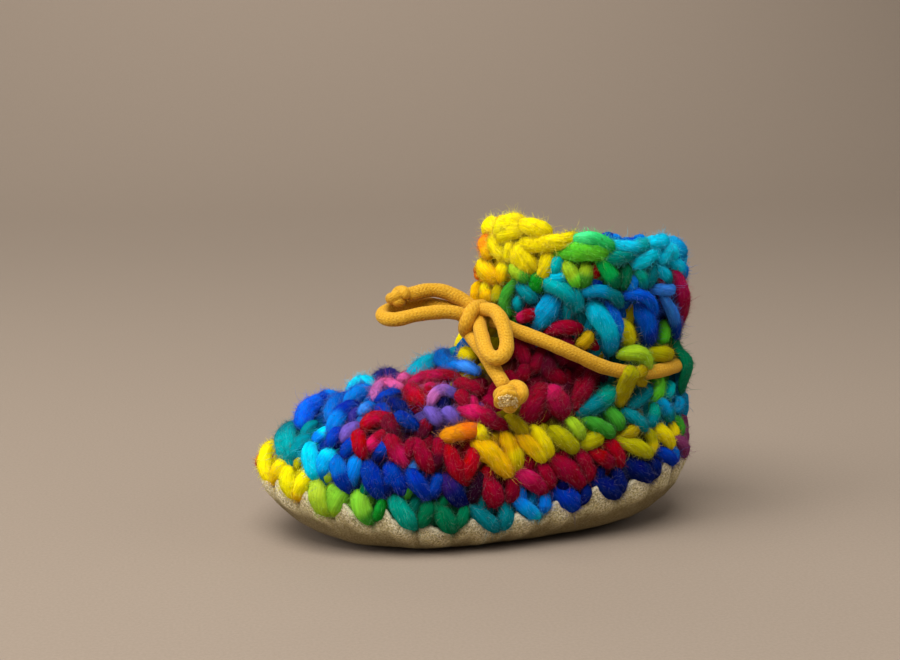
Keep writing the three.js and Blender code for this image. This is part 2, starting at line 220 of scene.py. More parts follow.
class Bundle:
    """Closed tubes gathered into one mesh, with a bake island for each tube."""

    def __init__(self):
        self.verts, self.quads, self.tris, self.uvq, self.uvt = [], [], [], [], []
        self.attrs = {}
        self.count, self.tubes = 0, 0

    def tube(self, centre, side, nrm, rw, rh, attrs, sides, twist=0.0, bump=None):
        n = len(centre)
        a = np.arange(sides) * 2 * np.pi / sides
        rw, rh = rw[:, None], rh[:, None]
        if bump is not None:
            rw, rh = rw * bump, rh * bump
        ring = (centre[:, None] + side[:, None] * (np.cos(a) * rw)[..., None]
                + nrm[:, None] * (np.sin(a) * rh)[..., None])
        verts = np.concatenate([ring.reshape(-1, 3), centre[:1], centre[-1:]])
        i, j = np.meshgrid(np.arange(n - 1), np.arange(sides), indexing='ij')
        k = (j + 1) % sides
        quads = np.stack([i * sides + j, (i + 1) * sides + j, (i + 1) * sides + k, i * sides + k], -1).reshape(-1, 4)
        j = np.arange(sides)
        k = (j + 1) % sides
        end = (n - 1) * sides
        tris = np.concatenate([np.stack([j * 0 + n * sides, j, k], -1),
                               np.stack([j * 0 + n * sides + 1, end + k, end + j], -1)])
        step = np.concatenate([[0], np.cumsum(np.linalg.norm(np.diff(centre, axis=0), axis=1))])
        turn = a[None] + twist * step[:, None]
        r0 = float(np.max(rw))
        off = rng.uniform(-400, 400, 3)
        strand = np.stack([r0 * np.cos(turn), r0 * np.sin(turn), np.repeat(step[:, None], sides, 1)], -1)
        strand = np.concatenate([strand.reshape(-1, 3), [[0, 0, step[0]], [0, 0, step[-1]]]]) + off
        got = dict(attrs, strand=None)
        for key, val in got.items():
            if key == "strand":
                flat = strand
            else:
                val = np.asarray(val, float)
                if val.ndim == 2 and val.shape == (n, sides):     # a value for each vertex
                    flat = np.concatenate([val.ravel(), [val[0].mean(), val[-1].mean()]])
                elif val.ndim == 1:
                    flat = np.concatenate([np.repeat(val, sides), val[[0, -1]]])
                else:
                    flat = np.concatenate([np.repeat(val, sides, axis=0), val[[0, -1]]])
            self.attrs.setdefault(key, []).append(flat)
        # island corners in 0..1, moved into its cell when the mesh is built
        vv = 0.06 + 0.88 * step / max(step[-1], 1e-6)
        i, j = np.meshgrid(np.arange(n - 1), np.arange(sides), indexing='ij')
        uq = np.stack([np.stack([j / sides, vv[i]], -1), np.stack([j / sides, vv[i + 1]], -1),
                       np.stack([(j + 1) / sides, vv[i + 1]], -1), np.stack([(j + 1) / sides, vv[i]], -1)], -2)
        j = np.arange(sides)
        ut = np.concatenate([
            np.stack([np.stack([(j + .5) / sides, j * 0.0], -1), np.stack([j / sides, j * 0 + vv[0]], -1),
                      np.stack([(j + 1) / sides, j * 0 + vv[0]], -1)], -2),
            np.stack([np.stack([(j + .5) / sides, j * 0 + 1.0], -1), np.stack([(j + 1) / sides, j * 0 + vv[-1]], -1),
                      np.stack([j / sides, j * 0 + vv[-1]], -1)], -2)])
        self.verts.append(verts)
        self.quads.append(quads + self.count)
        self.tris.append(tris + self.count)
        self.uvq.append((self.tubes, uq.reshape(-1, 4, 2)))
        self.uvt.append((self.tubes, ut))
        self.count += len(verts)
        self.tubes += 1

    def build(self, name, material, slot):
        across = max(1, math.ceil(math.sqrt(self.tubes)))
        down = math.ceil(self.tubes / across)

        def place(cell, uv):
            low = np.array([cell % across, cell // across])
            return (low + 0.08 + 0.84 * uv) / np.array([across, down])

        uv = np.concatenate([place(c, u).reshape(-1, 2) for c, u in self.uvq]
                            + [place(c, u).reshape(-1, 2) for c, u in self.uvt])
        attrs = {}
        for key, parts in self.attrs.items():
            val = np.concatenate(parts)
            if val.ndim == 2 and key == "yarn":
                val = np.concatenate([val, np.ones((len(val), 1))], 1)
            attrs[key] = val
        return make_piece(name, np.concatenate(self.verts), np.concatenate(self.quads),
                          np.concatenate(self.tris), attrs, material, uv)


def grid_faces(rows, cols, start=0):
    """Quads of a grid closed in its columns, facing out when rows go up and columns go with u."""
    i, j = np.meshgrid(np.arange(rows - 1), np.arange(cols), indexing='ij')
    k = (j + 1) % cols
    return (np.stack([i * cols + j, (i + 1) * cols + j, (i + 1) * cols + k, i * cols + k], -1).reshape(-1, 4) + start)


def grid_uv(rows, cols, low, high):
    i, j = np.meshgrid(np.arange(rows - 1), np.arange(cols), indexing='ij')
    low, high = np.array(low), np.array(high)
    q = np.stack([np.stack([j / cols, i / (rows - 1)], -1), np.stack([j / cols, (i + 1) / (rows - 1)], -1),
                  np.stack([(j + 1) / cols, (i + 1) / (rows - 1)], -1), np.stack([(j + 1) / cols, i / (rows - 1)], -1)], -2)
    return (low + (high - low) * q).reshape(-1, 4, 2)


def waves(p, scale, seed, octaves=3):
    """Smooth seeded noise of points, about -1 to 1, from summed waves."""
    r = np.random.default_rng(seed)
    out = np.zeros(p.shape[:-1])
    total = 0
    for o in range(octaves):
        for _ in range(5):
            k = unit(r.normal(size=3)) * 2 * np.pi / scale * 1.9 ** o * r.uniform(0.7, 1.3)
            out += np.sin(p @ k + r.uniform(0, 6.28)) * 0.6 ** o
        total += 5 * 0.6 ** o
    return out / math.sqrt(total)


# ============================================================ materials
class Nodes:
    """A node material with a few helpers for lengths in the slipper's own scale."""

    def __init__(self, name):
        self.mat = bpy.data.materials.new(name)
        self.mat.use_nodes = True
        self.tree = self.mat.node_tree
        self.tree.nodes.clear()
        self.out = self.tree.nodes.new("ShaderNodeOutputMaterial")
        self.bsdf = self.tree.nodes.new("ShaderNodeBsdfPrincipled")
        self.link(self.bsdf.outputs[0], self.out.inputs[0])

    def link(self, a, b):
        self.tree.links.new(a, b)

    def new(self, kind, **props):
        n = self.tree.nodes.new(kind)
        for k, v in props.items():
            setattr(n, k, v)
        return n

    def set(self, **values):
        for k, v in values.items():
            self.bsdf.inputs[k.replace("_", " ")].default_value = v

    def attribute(self, name):
        return self.new("ShaderNodeAttribute", attribute_name=name)

    def place(self):
        """Position in the slipper, in millimetres."""
        co = self.new("ShaderNodeTexCoord")
        return self.vec('SCALE', co.outputs["Object"], None, 1000.0)

    def vec(self, op, a, b=None, scale=None):
        n = self.new("ShaderNodeVectorMath", operation=op)
        self.link(a, n.inputs[0])
        if b is not None:
            if isinstance(b, tuple):
                n.inputs[1].default_value = b
            else:
                self.link(b, n.inputs[1])
        if scale is not None:
            n.inputs["Scale"].default_value = scale
        return n.outputs[0]

    def noise(self, vector, scale, detail=2.0, rough=0.55, distortion=0.0):
        n = self.new("ShaderNodeTexNoise")
        n.inputs["Scale"].default_value = scale
        n.inputs["Detail"].default_value = detail
        n.inputs["Roughness"].default_value = rough
        n.inputs["Distortion"].default_value = distortion
        self.link(vector, n.inputs["Vector"])
        return n.outputs[0]

    def math(self, op, a, b=None, c=None, clamp=False):
        n = self.new("ShaderNodeMath", operation=op, use_clamp=clamp)
        for k, x in enumerate((a, b, c)):
            if x is None:
                continue
            if isinstance(x, (int, float)):
                n.inputs[k].default_value = x
            else:
                self.link(x, n.inputs[k])
        return n.outputs[0]

    def remap(self, x, low, high, to_low=0.0, to_high=1.0):
        n = self.new("ShaderNodeMapRange")
        n.inputs[1].default_value, n.inputs[2].default_value = low, high
        n.inputs[3].default_value, n.inputs[4].default_value = to_low, to_high
        self.link(x, n.inputs[0])
        return n.outputs[0]

    def mix(self, fac, a, b, blend='MIX'):
        n = self.new("ShaderNodeMix", data_type='RGBA', blend_type=blend)
        for sock, x in ((n.inputs[0], fac), (n.inputs[6], a), (n.inputs[7], b)):
            if isinstance(x, (int, float)):
                sock.default_value = x
            elif isinstance(x, (tuple, list, np.ndarray)):
                sock.default_value = (*[float(t) for t in x[:3]], 1.0)
            else:
                self.link(x, sock)
        return n.outputs[2]

    def bump(self, height, strength, distance):
        n = self.new("ShaderNodeBump")
        n.inputs["Strength"].default_value = strength
        n.inputs["Distance"].default_value = distance / 1000
        self.link(height, n.inputs["Height"])
        self.link(n.outputs[0], self.bsdf.inputs["Normal"])


def wool_material(name, dark=1.0, streak=1.0):
    m = Nodes(name)
    yarn = m.attribute("yarn").outputs["Color"]
    strand = m.attribute("strand").outputs["Vector"]
    fibre = m.noise(m.vec('MULTIPLY', strand, (1.0, 1.0, 0.10)), 2.6, 3.0, 0.6)
    lock = m.noise(m.vec('MULTIPLY', strand, (1.0, 1.0, 0.16)), 0.75, 2.0, 0.5)
    cloud = m.noise(strand, 0.28, 2.0, 0.5)
    tone = m.math('ADD', m.remap(fibre, 0.3, 0.7, -0.17 * streak, 0.17 * streak),
                  m.remap(lock, 0.3, 0.7, -0.15 * streak, 0.15 * streak))
    tone = m.math('MULTIPLY', m.math('ADD', tone, 1.0), dark)
    grey = m.new("ShaderNodeCombineColor")
    for k in range(3):
        m.link(tone, grey.inputs[k])
    hue = m.new("ShaderNodeHueSaturation")
    m.link(m.remap(cloud, 0.25, 0.75, 0.492, 0.508), hue.inputs["Hue"])
    hue.inputs["Saturation"].default_value = 1.0
    m.link(yarn, hue.inputs["Color"])
    colour = m.mix(1.0, hue.outputs[0], grey.outputs[0], 'MULTIPLY')
    m.link(colour, m.bsdf.inputs["Base Color"])
    m.link(m.remap(fibre, 0.3, 0.7, 0.92, 0.74), m.bsdf.inputs["Roughness"])
    m.set(Specular_IOR_Level=0.02)
    m.bump(m.math('ADD', m.math('MULTIPLY', fibre, 0.6), m.math('MULTIPLY', lock, 0.9)), 0.6, 0.55)
    return m.mat


def fibre_material():
    m = Nodes("wool_fibre")
    yarn = m.attribute("yarn").outputs["Color"]
    n = m.noise(m.place(), 0.6, 2.0)
    soft = m.mix(1.0, yarn, (0.86, 0.86, 0.86), 'MULTIPLY')
    # some fibres mixed a little towards white: painted glow of lit loose fibres
    m.link(m.mix(m.remap(n, 0.3, 0.7, 0.0, 0.05), soft, (1.0, 0.97, 0.92)), m.bsdf.inputs["Base Color"])
    m.set(Roughness=0.8, Specular_IOR_Level=0.08)
    return m.mat


def suede_material():
    m = Nodes("suede")
    at = m.place()
    cut = m.attribute("cut").outputs["Fac"]
    pit = m.attribute("pit").outputs["Fac"]
    tongue = m.attribute("tongue").outputs["Fac"]
    nap = m.noise(at, 1.55, 4.0, 0.72, 0.4)
    grain = m.noise(at, 4.2, 2.0, 0.6)
    cloud = m.noise(at, 0.13, 3.0, 0.6)
    base = m.mix(m.remap(nap, 0.36, 0.64), linear((149, 133, 82)), linear((224, 208, 152)))
    base = m.mix(m.remap(grain, 0.52, 0.68, 0.0, 0.5), base, linear((240, 230, 190)))
    base = m.mix(m.remap(cloud, 0.35, 0.65, 0.0, 0.25), base, linear((150, 134, 96)))
    # darker lower down the wall, away from the tongues: painted shade of the rolled-under flank
    base = m.mix(m.remap(tongue, 0.02, 0.4, 0.70, 0.0), base, linear((84, 63, 28)))
    pale = m.noise(at, 1.7, 2.0, 0.6)
    dark = m.noise(m.vec('ADD', at, (37.0, 11.0, 5.0)), 1.9, 2.0, 0.6)
    base = m.mix(m.math('MULTIPLY', tongue, m.remap(dark, 0.50, 0.60, 0.0, 0.85)), base, linear((70, 58, 32)))
    base = m.mix(m.math('MULTIPLY', tongue, m.remap(pale, 0.47, 0.58, 0.0, 0.9)), base, linear((250, 240, 210)))
    base = m.mix(m.math('MULTIPLY', cut, m.remap(grain, 0.35, 0.6, 0.35, 0.95)), base, linear((236, 225, 196)))
    # near-black in the stitch holes: painted shadow inside the holes
    base = m.mix(m.math('MULTIPLY', pit, 0.88), base, linear((40, 32, 20)))
    m.link(base, m.bsdf.inputs["Base Color"])
    m.set(Roughness=0.94, Sheen_Weight=0.06, Sheen_Roughness=0.5, Specular_IOR_Level=0.1)
    m.bump(m.math('ADD', m.math('MULTIPLY', nap, 0.8), m.math('MULTIPLY', grain, 0.5)), 0.7, 0.5)
    return m.mat


def cord_material():
    m = Nodes("braided_cord")
    strand = m.attribute("strand").outputs["Vector"]
    plait = m.attribute("plait").outputs["Fac"]
    thread = m.noise(m.vec('MULTIPLY', strand, (1.0, 1.0, 0.55)), 3.4, 2.0, 0.6)
    cloud = m.noise(strand, 0.16, 2.0, 0.5)
    # the plait lighter on its ridges and darker in its grooves: painted shade of the braid's relief
    base = m.mix(m.remap(plait, -0.7, 0.7), linear((184, 129, 12)), linear((214, 161, 34)))
    # pale flecks along the threads: painted highlights
    base = m.mix(m.remap(thread, 0.44, 0.70, 0.0, 0.5), base, linear((238, 196, 82)))
    base = m.mix(m.remap(cloud, 0.3, 0.7, 0.0, 0.3), base, linear((220, 160, 26)))
    m.link(base, m.bsdf.inputs["Base Color"])
    m.set(Roughness=0.85, Sheen_Weight=0.06, Sheen_Roughness=0.4, Specular_IOR_Level=0.2)
    m.bump(m.math('ADD', m.math('MULTIPLY', plait, 0.12), m.math('MULTIPLY', thread, 1.0)), 0.9, 0.4)
    return m.mat


def fray_material():
    m = Nodes("frayed_cord_end")
    n = m.noise(m.place(), 1.7, 3.0)
    m.link(m.mix(m.remap(n, 0.35, 0.65), linear((208, 164, 60)), linear((240, 222, 172))), m.bsdf.inputs["Base Color"])
    m.set(Roughness=0.85, Sheen_Weight=0.2, Specular_IOR_Level=0.25)
    return m.mat


def fleece_material():
    m = Nodes("fleece")
    at = m.place()
    curl = m.noise(at, 0.55, 4.0, 0.65, 1.2)
    m.link(m.mix(m.remap(curl, 0.33, 0.67), linear((176, 160, 130)), linear((234, 222, 198))), m.bsdf.inputs["Base Color"])
    m.set(Roughness=0.95, Sheen_Weight=0.3, Specular_IOR_Level=0.1)
    m.bump(curl, 0.8, 1.0)
    return m.mat


def floor_material():
    m = Nodes("floor_paper")
    g = m.noise(m.place(), 1.2, 2.0)
    base = m.mix(m.remap(g, 0.35, 0.65), linear((144, 130, 116)), linear((149, 135, 121)))
    m.link(base, m.bsdf.inputs["Base Color"])
    m.set(Roughness=0.9, Specular_IOR_Level=0.15)
    return m.mat


WOOL = wool_material("wool", 0.80)
# the lining's wool at .45 of its colour: painted shade behind the gaps between stitches
WOOL_SHADED_LINING = wool_material("wool_inside_shaded", 0.45, 1.4)
FIBRE = fibre_material()
SUEDE = suede_material()
CORD = cord_material()
FRAY = fray_material()
FLEECE = fleece_material()

# ============================================================ the tie
# Stations of the band on the slipper, as turn and section.
TIE_ROUTE = [
    (.420, 8.33), (.400, 8.28), (.364, 8.14), (.323, 7.97), (.283, 7.78), (.247, 7.56), (.205, 7.15),
    (.153, 6.62), (.105, 6.48), (.050, 6.40), (0, 6.40), (-.060, 6.42), (-.120, 6.55), (-.180, 6.90),
    (-.240, 7.45), (-.300, 7.85), (-.360, 8.14), (-.420, 8.32), (-.475, 8.38), (-.533, 8.37),
]
# The bow, as offsets from the knot.
LOOP_LEFT = [(-5.3, -2.3, 2.5), (-9.9, -1.9, 3.2), (-17.8, -1, 2.5), (-23.8, .6, 1.0), (-26.8, 4.6, 1.1),
             (-25.7, 8.2, 2.0), (-21.2, 9.2, 3.2), (-13.9, 7.8, 3.9), (-8, 5.2, 3.2), (-4.7, 3.6, 1.8)]
TAIL_LEFT = [(-1.9, 1.8, 4.4), (-5.6, 3.6, 6.7), (-10.3, 4.8, 8.4), (-15.2, 5, 8.3), (-18, 4.9, 7.5)]
LOOP_LOW = [(1.4, -3.2, 3.7), (3.0, -6.6, 4.0), (4.3, -10.2, 2.4), (4.8, -13.4, -.6), (4.6, -16.8, -4.2),
            (3.3, -19.1, -6.4), (1.3, -19.6, -7.4), (-.5, -18.2, -7.0), (-1.2, -15.4, -5.3), (-1.1, -10.6, -2.6), (-.5, -5.3, -.7)]
TAIL_LOW = [(-2.4, -4.2, -4.2), (-1.4, -7.8, -5.8), (-.4, -11.4, -7.8), (.8, -15.4, -10.4), (2.2, -19.9, -13.5)]
# The wrap of the knot, from behind, up its left front and over its top.
KNOT_WRAP = [(1.6, 2.8, -2.4), (-1.8, .9, -3.6), (-4.1, -2.6, -2.0), (-4.0, -4.2, .4), (-2.8, -3.7, 2.9),
             (-.4, -1.5, 4.2), (2.1, 1.1, 3.5), (3.1, 3.0, 1.0), (2.0, 3.4, -1.6)]
KNOT_LEFT, KNOT_LEFT_R = (-22.1, 5, 6.9), (3.9, 3.4, 2.9)
KNOT_LOW, KNOT_LOW_R = (4.2, -23.2, -17.2), (4.6, 3.9, 5.2)


def smooth_line(points, step=0.45):
    """A centripetal curve through points, as points a step apart."""
    p = np.asarray(points, float)
    p = np.concatenate([2 * p[:1] - p[1:2], p, 2 * p[-1:] - p[-2:-1]])
    out = []
    for k in range(1, len(p) - 2):
        p0, p1, p2, p3 = p[k - 1:k + 3]
        t0 = 0.0
        t1 = t0 + max(np.linalg.norm(p1 - p0), 1e-6) ** 0.5
        t2 = t1 + max(np.linalg.norm(p2 - p1), 1e-6) ** 0.5
        t3 = t2 + max(np.linalg.norm(p3 - p2), 1e-6) ** 0.5
        t = np.linspace(t1, t2, 24, endpoint=False)[:, None]
        a1 = (t1 - t) / (t1 - t0) * p0 + (t - t0) / (t1 - t0) * p1
        a2 = (t2 - t) / (t2 - t1) * p1 + (t - t1) / (t2 - t1) * p2
        a3 = (t3 - t) / (t3 - t2) * p2 + (t - t2) / (t3 - t2) * p3
        b1 = (t2 - t) / (t2 - t0) * a1 + (t - t0) / (t2 - t0) * a2
        b2 = (t3 - t) / (t3 - t1) * a2 + (t - t1) / (t3 - t1) * a3
        out.append((t2 - t) / (t2 - t1) * b1 + (t - t1) / (t2 - t1) * b2)
    q = np.concatenate(out + [p[-2:-1]])
    run = np.concatenate([[0], np.cumsum(np.linalg.norm(np.diff(q, axis=0), axis=1))])
    want = np.linspace(0, run[-1], max(8, int(run[-1] / step) + 1))
    return np.stack([np.interp(want, run, q[:, k]) for k in range(3)], -1), run[-1]


def eased(line, times):
    """A line with its tight bends opened a little, its ends held, and its length."""
    q = np.array(line, float)
    for _ in range(times):
        q[1:-1] = .5 * q[1:-1] + .25 * (q[:-2] + q[2:])
    run = np.concatenate([[0], np.cumsum(np.linalg.norm(np.diff(q, axis=0), axis=1))])
    want = np.linspace(0, run[-1], len(q))
    return np.stack([np.interp(want, run, q[:, k]) for k in range(3)], -1), run[-1]


def carried_frame(line):
    """Section directions carried along a line without spinning."""
    t = unit(np.gradient(line, axis=0))
    n = np.zeros_like(t)
    start = np.array([0, 0, 1.0]) if abs(t[0, 2]) < 0.9 else np.array([1.0, 0, 0])
    n[0] = unit(start - t[0] * (start @ t[0]))
    for k in range(1, len(t)):
        n[k] = unit(n[k - 1] - t[k] * (n[k - 1] @ t[k]))
    return np.cross(t, n), n


PLAIT = 1.05      # length of one chevron of the plait


def braid(bundle, line, radius, sides=28, ends=0.0):
    """A round plaited cord along a line; ends rounds off its two ends."""
    side, nrm = carried_frame(line)
    n = len(line)
    run = np.concatenate([[0], np.cumsum(np.linalg.norm(np.diff(line, axis=0), axis=1))])
    a = np.arange(sides) * 2 * np.pi / sides
    column = np.abs((a * 7 / np.pi) % 2 - 1)
    # the plait also sets the cord's colour, lighter on its ridges and darker in its grooves: painted shade
    plait = .75 * np.cos(2 * np.pi * (run[:, None] / PLAIT + .55 * column[None])) + .25 * np.cos(2 * np.pi * column[None])
    r = np.full(n, radius)
    if ends:
        d = np.minimum(run, run[-1] - run)
        r = radius * np.sqrt(np.clip(1 - (1 - np.clip(d / ends, 0, 1)) ** 2, 0.02, 1))
    slack = 1 + 0.025 * np.sin(run * 0.55 + 1.3) + 0.015 * np.sin(run * 1.27)
    bundle.tube(line, side, nrm, r * slack, r * slack * 0.97, {"plait": plait}, sides,
                bump=1 + 0.009 * plait)


def overhand(centre, radii, tube, turn, squash=1.0):
    """The line of a pulled-tight overhand knot inside a box of half sizes radii."""
    t = np.linspace(0.25, 2 * np.pi - 0.25, 60)
    p = np.stack([np.sin(t) + 2 * np.sin(2 * t), np.cos(t) - 2 * np.cos(2 * t), -1.25 * np.sin(3 * t)], -1)
    p = p / np.array([3.0, 3.0, 1.25])
    p = p * np.maximum(np.asarray(radii)[[0, 2, 1]] - tube, 0.6)
    c, s = math.cos(turn), math.sin(turn)
    x, y = p[:, 0] * c - p[:, 1] * s, p[:, 0] * s + p[:, 1] * c
    return np.asarray(centre) + np.stack([x, p[:, 2], y], -1)


def tie_clear(u):
    """The band presses into the wool at the heel."""
    return CORD_CLEAR - 2.0 * np.exp(-(np.asarray(u) / .11) ** 2)


def add_tie():
    route = np.array(TIE_ROUTE)
    u, v = route.T
    line, _ = smooth_line(sunk(u, v, -(CORD_D / 2 + tie_clear(u))), .34)
    band = Bundle()
    braid(band, line, CORD_D / 2)
    band = band.build("tie_band_cord", CORD, "cord")
    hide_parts("tie_band")

    wrap, _ = smooth_line(KNOT + np.array(KNOT_WRAP), .34)
    knot = Bundle()
    braid(knot, wrap, 2.1, 28, ends=1.6)
    knot = knot.build("tie_knot_wrap", CORD, "cord")
    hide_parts("tie_knot")

    for name, off, size, tube, turn, node in (
            ("tie_end_left", KNOT_LEFT, KNOT_LEFT_R, 1.75, 0.5, "tie_tail_left_knot"),
            ("tie_end_low", KNOT_LOW, KNOT_LOW_R, 2.05, 2.2, "tie_tail_low_knot")):
        line, _ = smooth_line(overhand(KNOT + np.array(off), size, tube, turn), .34)
        ball = Bundle()
        braid(ball, line, tube, 28, ends=1.4)
        ball.build(name, CORD, "cord")
        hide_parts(node)

    def free(name, loop, tail, end, nodes, exits):
        """A loop of the bow and the tail that comes out of the knot with it, as one cord."""
        way = ([exits[0]] + list(loop) + [exits[1], exits[2]] + list(tail)
               + [np.array(end) * 0.5 + np.array(tail[-1]) * 0.5])
        line, length = eased(smooth_line(KNOT + np.array(way, float), .34)[0], 24)
        cord = Bundle()
        braid(cord, line, CORD_D / 2, 28, ends=1.6)
        cord = cord.build(name, CORD, "cord")
        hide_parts(*nodes)
        return length

    a = free("tie_bow_left", LOOP_LEFT, TAIL_LOW, KNOT_LOW, ("tie_loop_left", "tie_tail_low"),
             [(-1.6, -1.2, .3), (-1.8, 1.2, -.6), (-2.6, -1.6, -3.4)])
    b = free("tie_bow_low", LOOP_LOW, TAIL_LEFT, KNOT_LEFT, ("tie_loop_low", "tie_tail_left"),
             [(.6, -.8, 2.8), (.2, -1.6, .8), (-.2, .4, 2.2)])
    print("cord lengths mm", round(a, 1), round(b, 1))

    # the splayed cut end that shows in the low end knot, with its tuft of pale threads
    aim = unit(np.array([-0.16, -0.86, -0.48]))
    tip = KNOT + np.array(KNOT_LOW) + np.array([-1.7, -3.1, -.7])
    line = tip + aim * np.linspace(-4.2, 1.0, 22)[:, None]
    side, nrm = carried_frame(line)
    t = np.linspace(0, 1, 22)
    rad = (2.5 + 1.3 * np.clip(t / .75, 0, 1) ** 1.3) * np.sqrt(np.clip(1 - np.clip((t - .8) / .205, 0, 1) ** 2, .02, 1))
    turn = np.arange(28) * 2 * np.pi / 28
    cup = Bundle()
    cup.tube(line, side, nrm, rad, rad * .92, {"plait": .6 * np.cos(7 * turn[None] + 5 * t[:, None])}, 28,
             bump=1 + .05 * np.cos(3 * turn[None] + 1.0) + .03 * np.cos(7 * turn[None] + 5 * t[:, None]))
    cup = cup.build("tie_end_splay", CORD, "cord")
    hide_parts("tie_tail_low_knot")
    r = np.random.default_rng(5)
    fray = Bundle()
    across = np.stack([unit(np.cross(aim, [0, 0, 1.0])), unit(np.cross(aim, np.cross(aim, [0, 0, 1.0])))])
    for k in range(330):
        w = math.sqrt((k + .5) / 330)
        spot = np.array([math.cos(k * 2.39996), math.sin(k * 2.39996)]) @ across
        foot = tip + spot * 2.65 * w + aim * (.85 - .6 * w)
        way = unit(aim * .8 + spot * .5 * w + r.normal(size=3) * .55)
        size = r.uniform(.3, .65)
        bend = r.normal(size=3) * .3
        q = np.linspace(0, 1, 4)[:, None]
        line = foot + way * q * size + bend * q * q * size * .5
        side, nrm = carried_frame(line)
        thick = r.uniform(.28, .48) * (1 - .3 * q[:, 0])
        fray.tube(line, side, nrm, thick, thick, {}, 5)
    fray.build("tie_end_fray", FRAY, "cord")
    return a, b


add_tie()

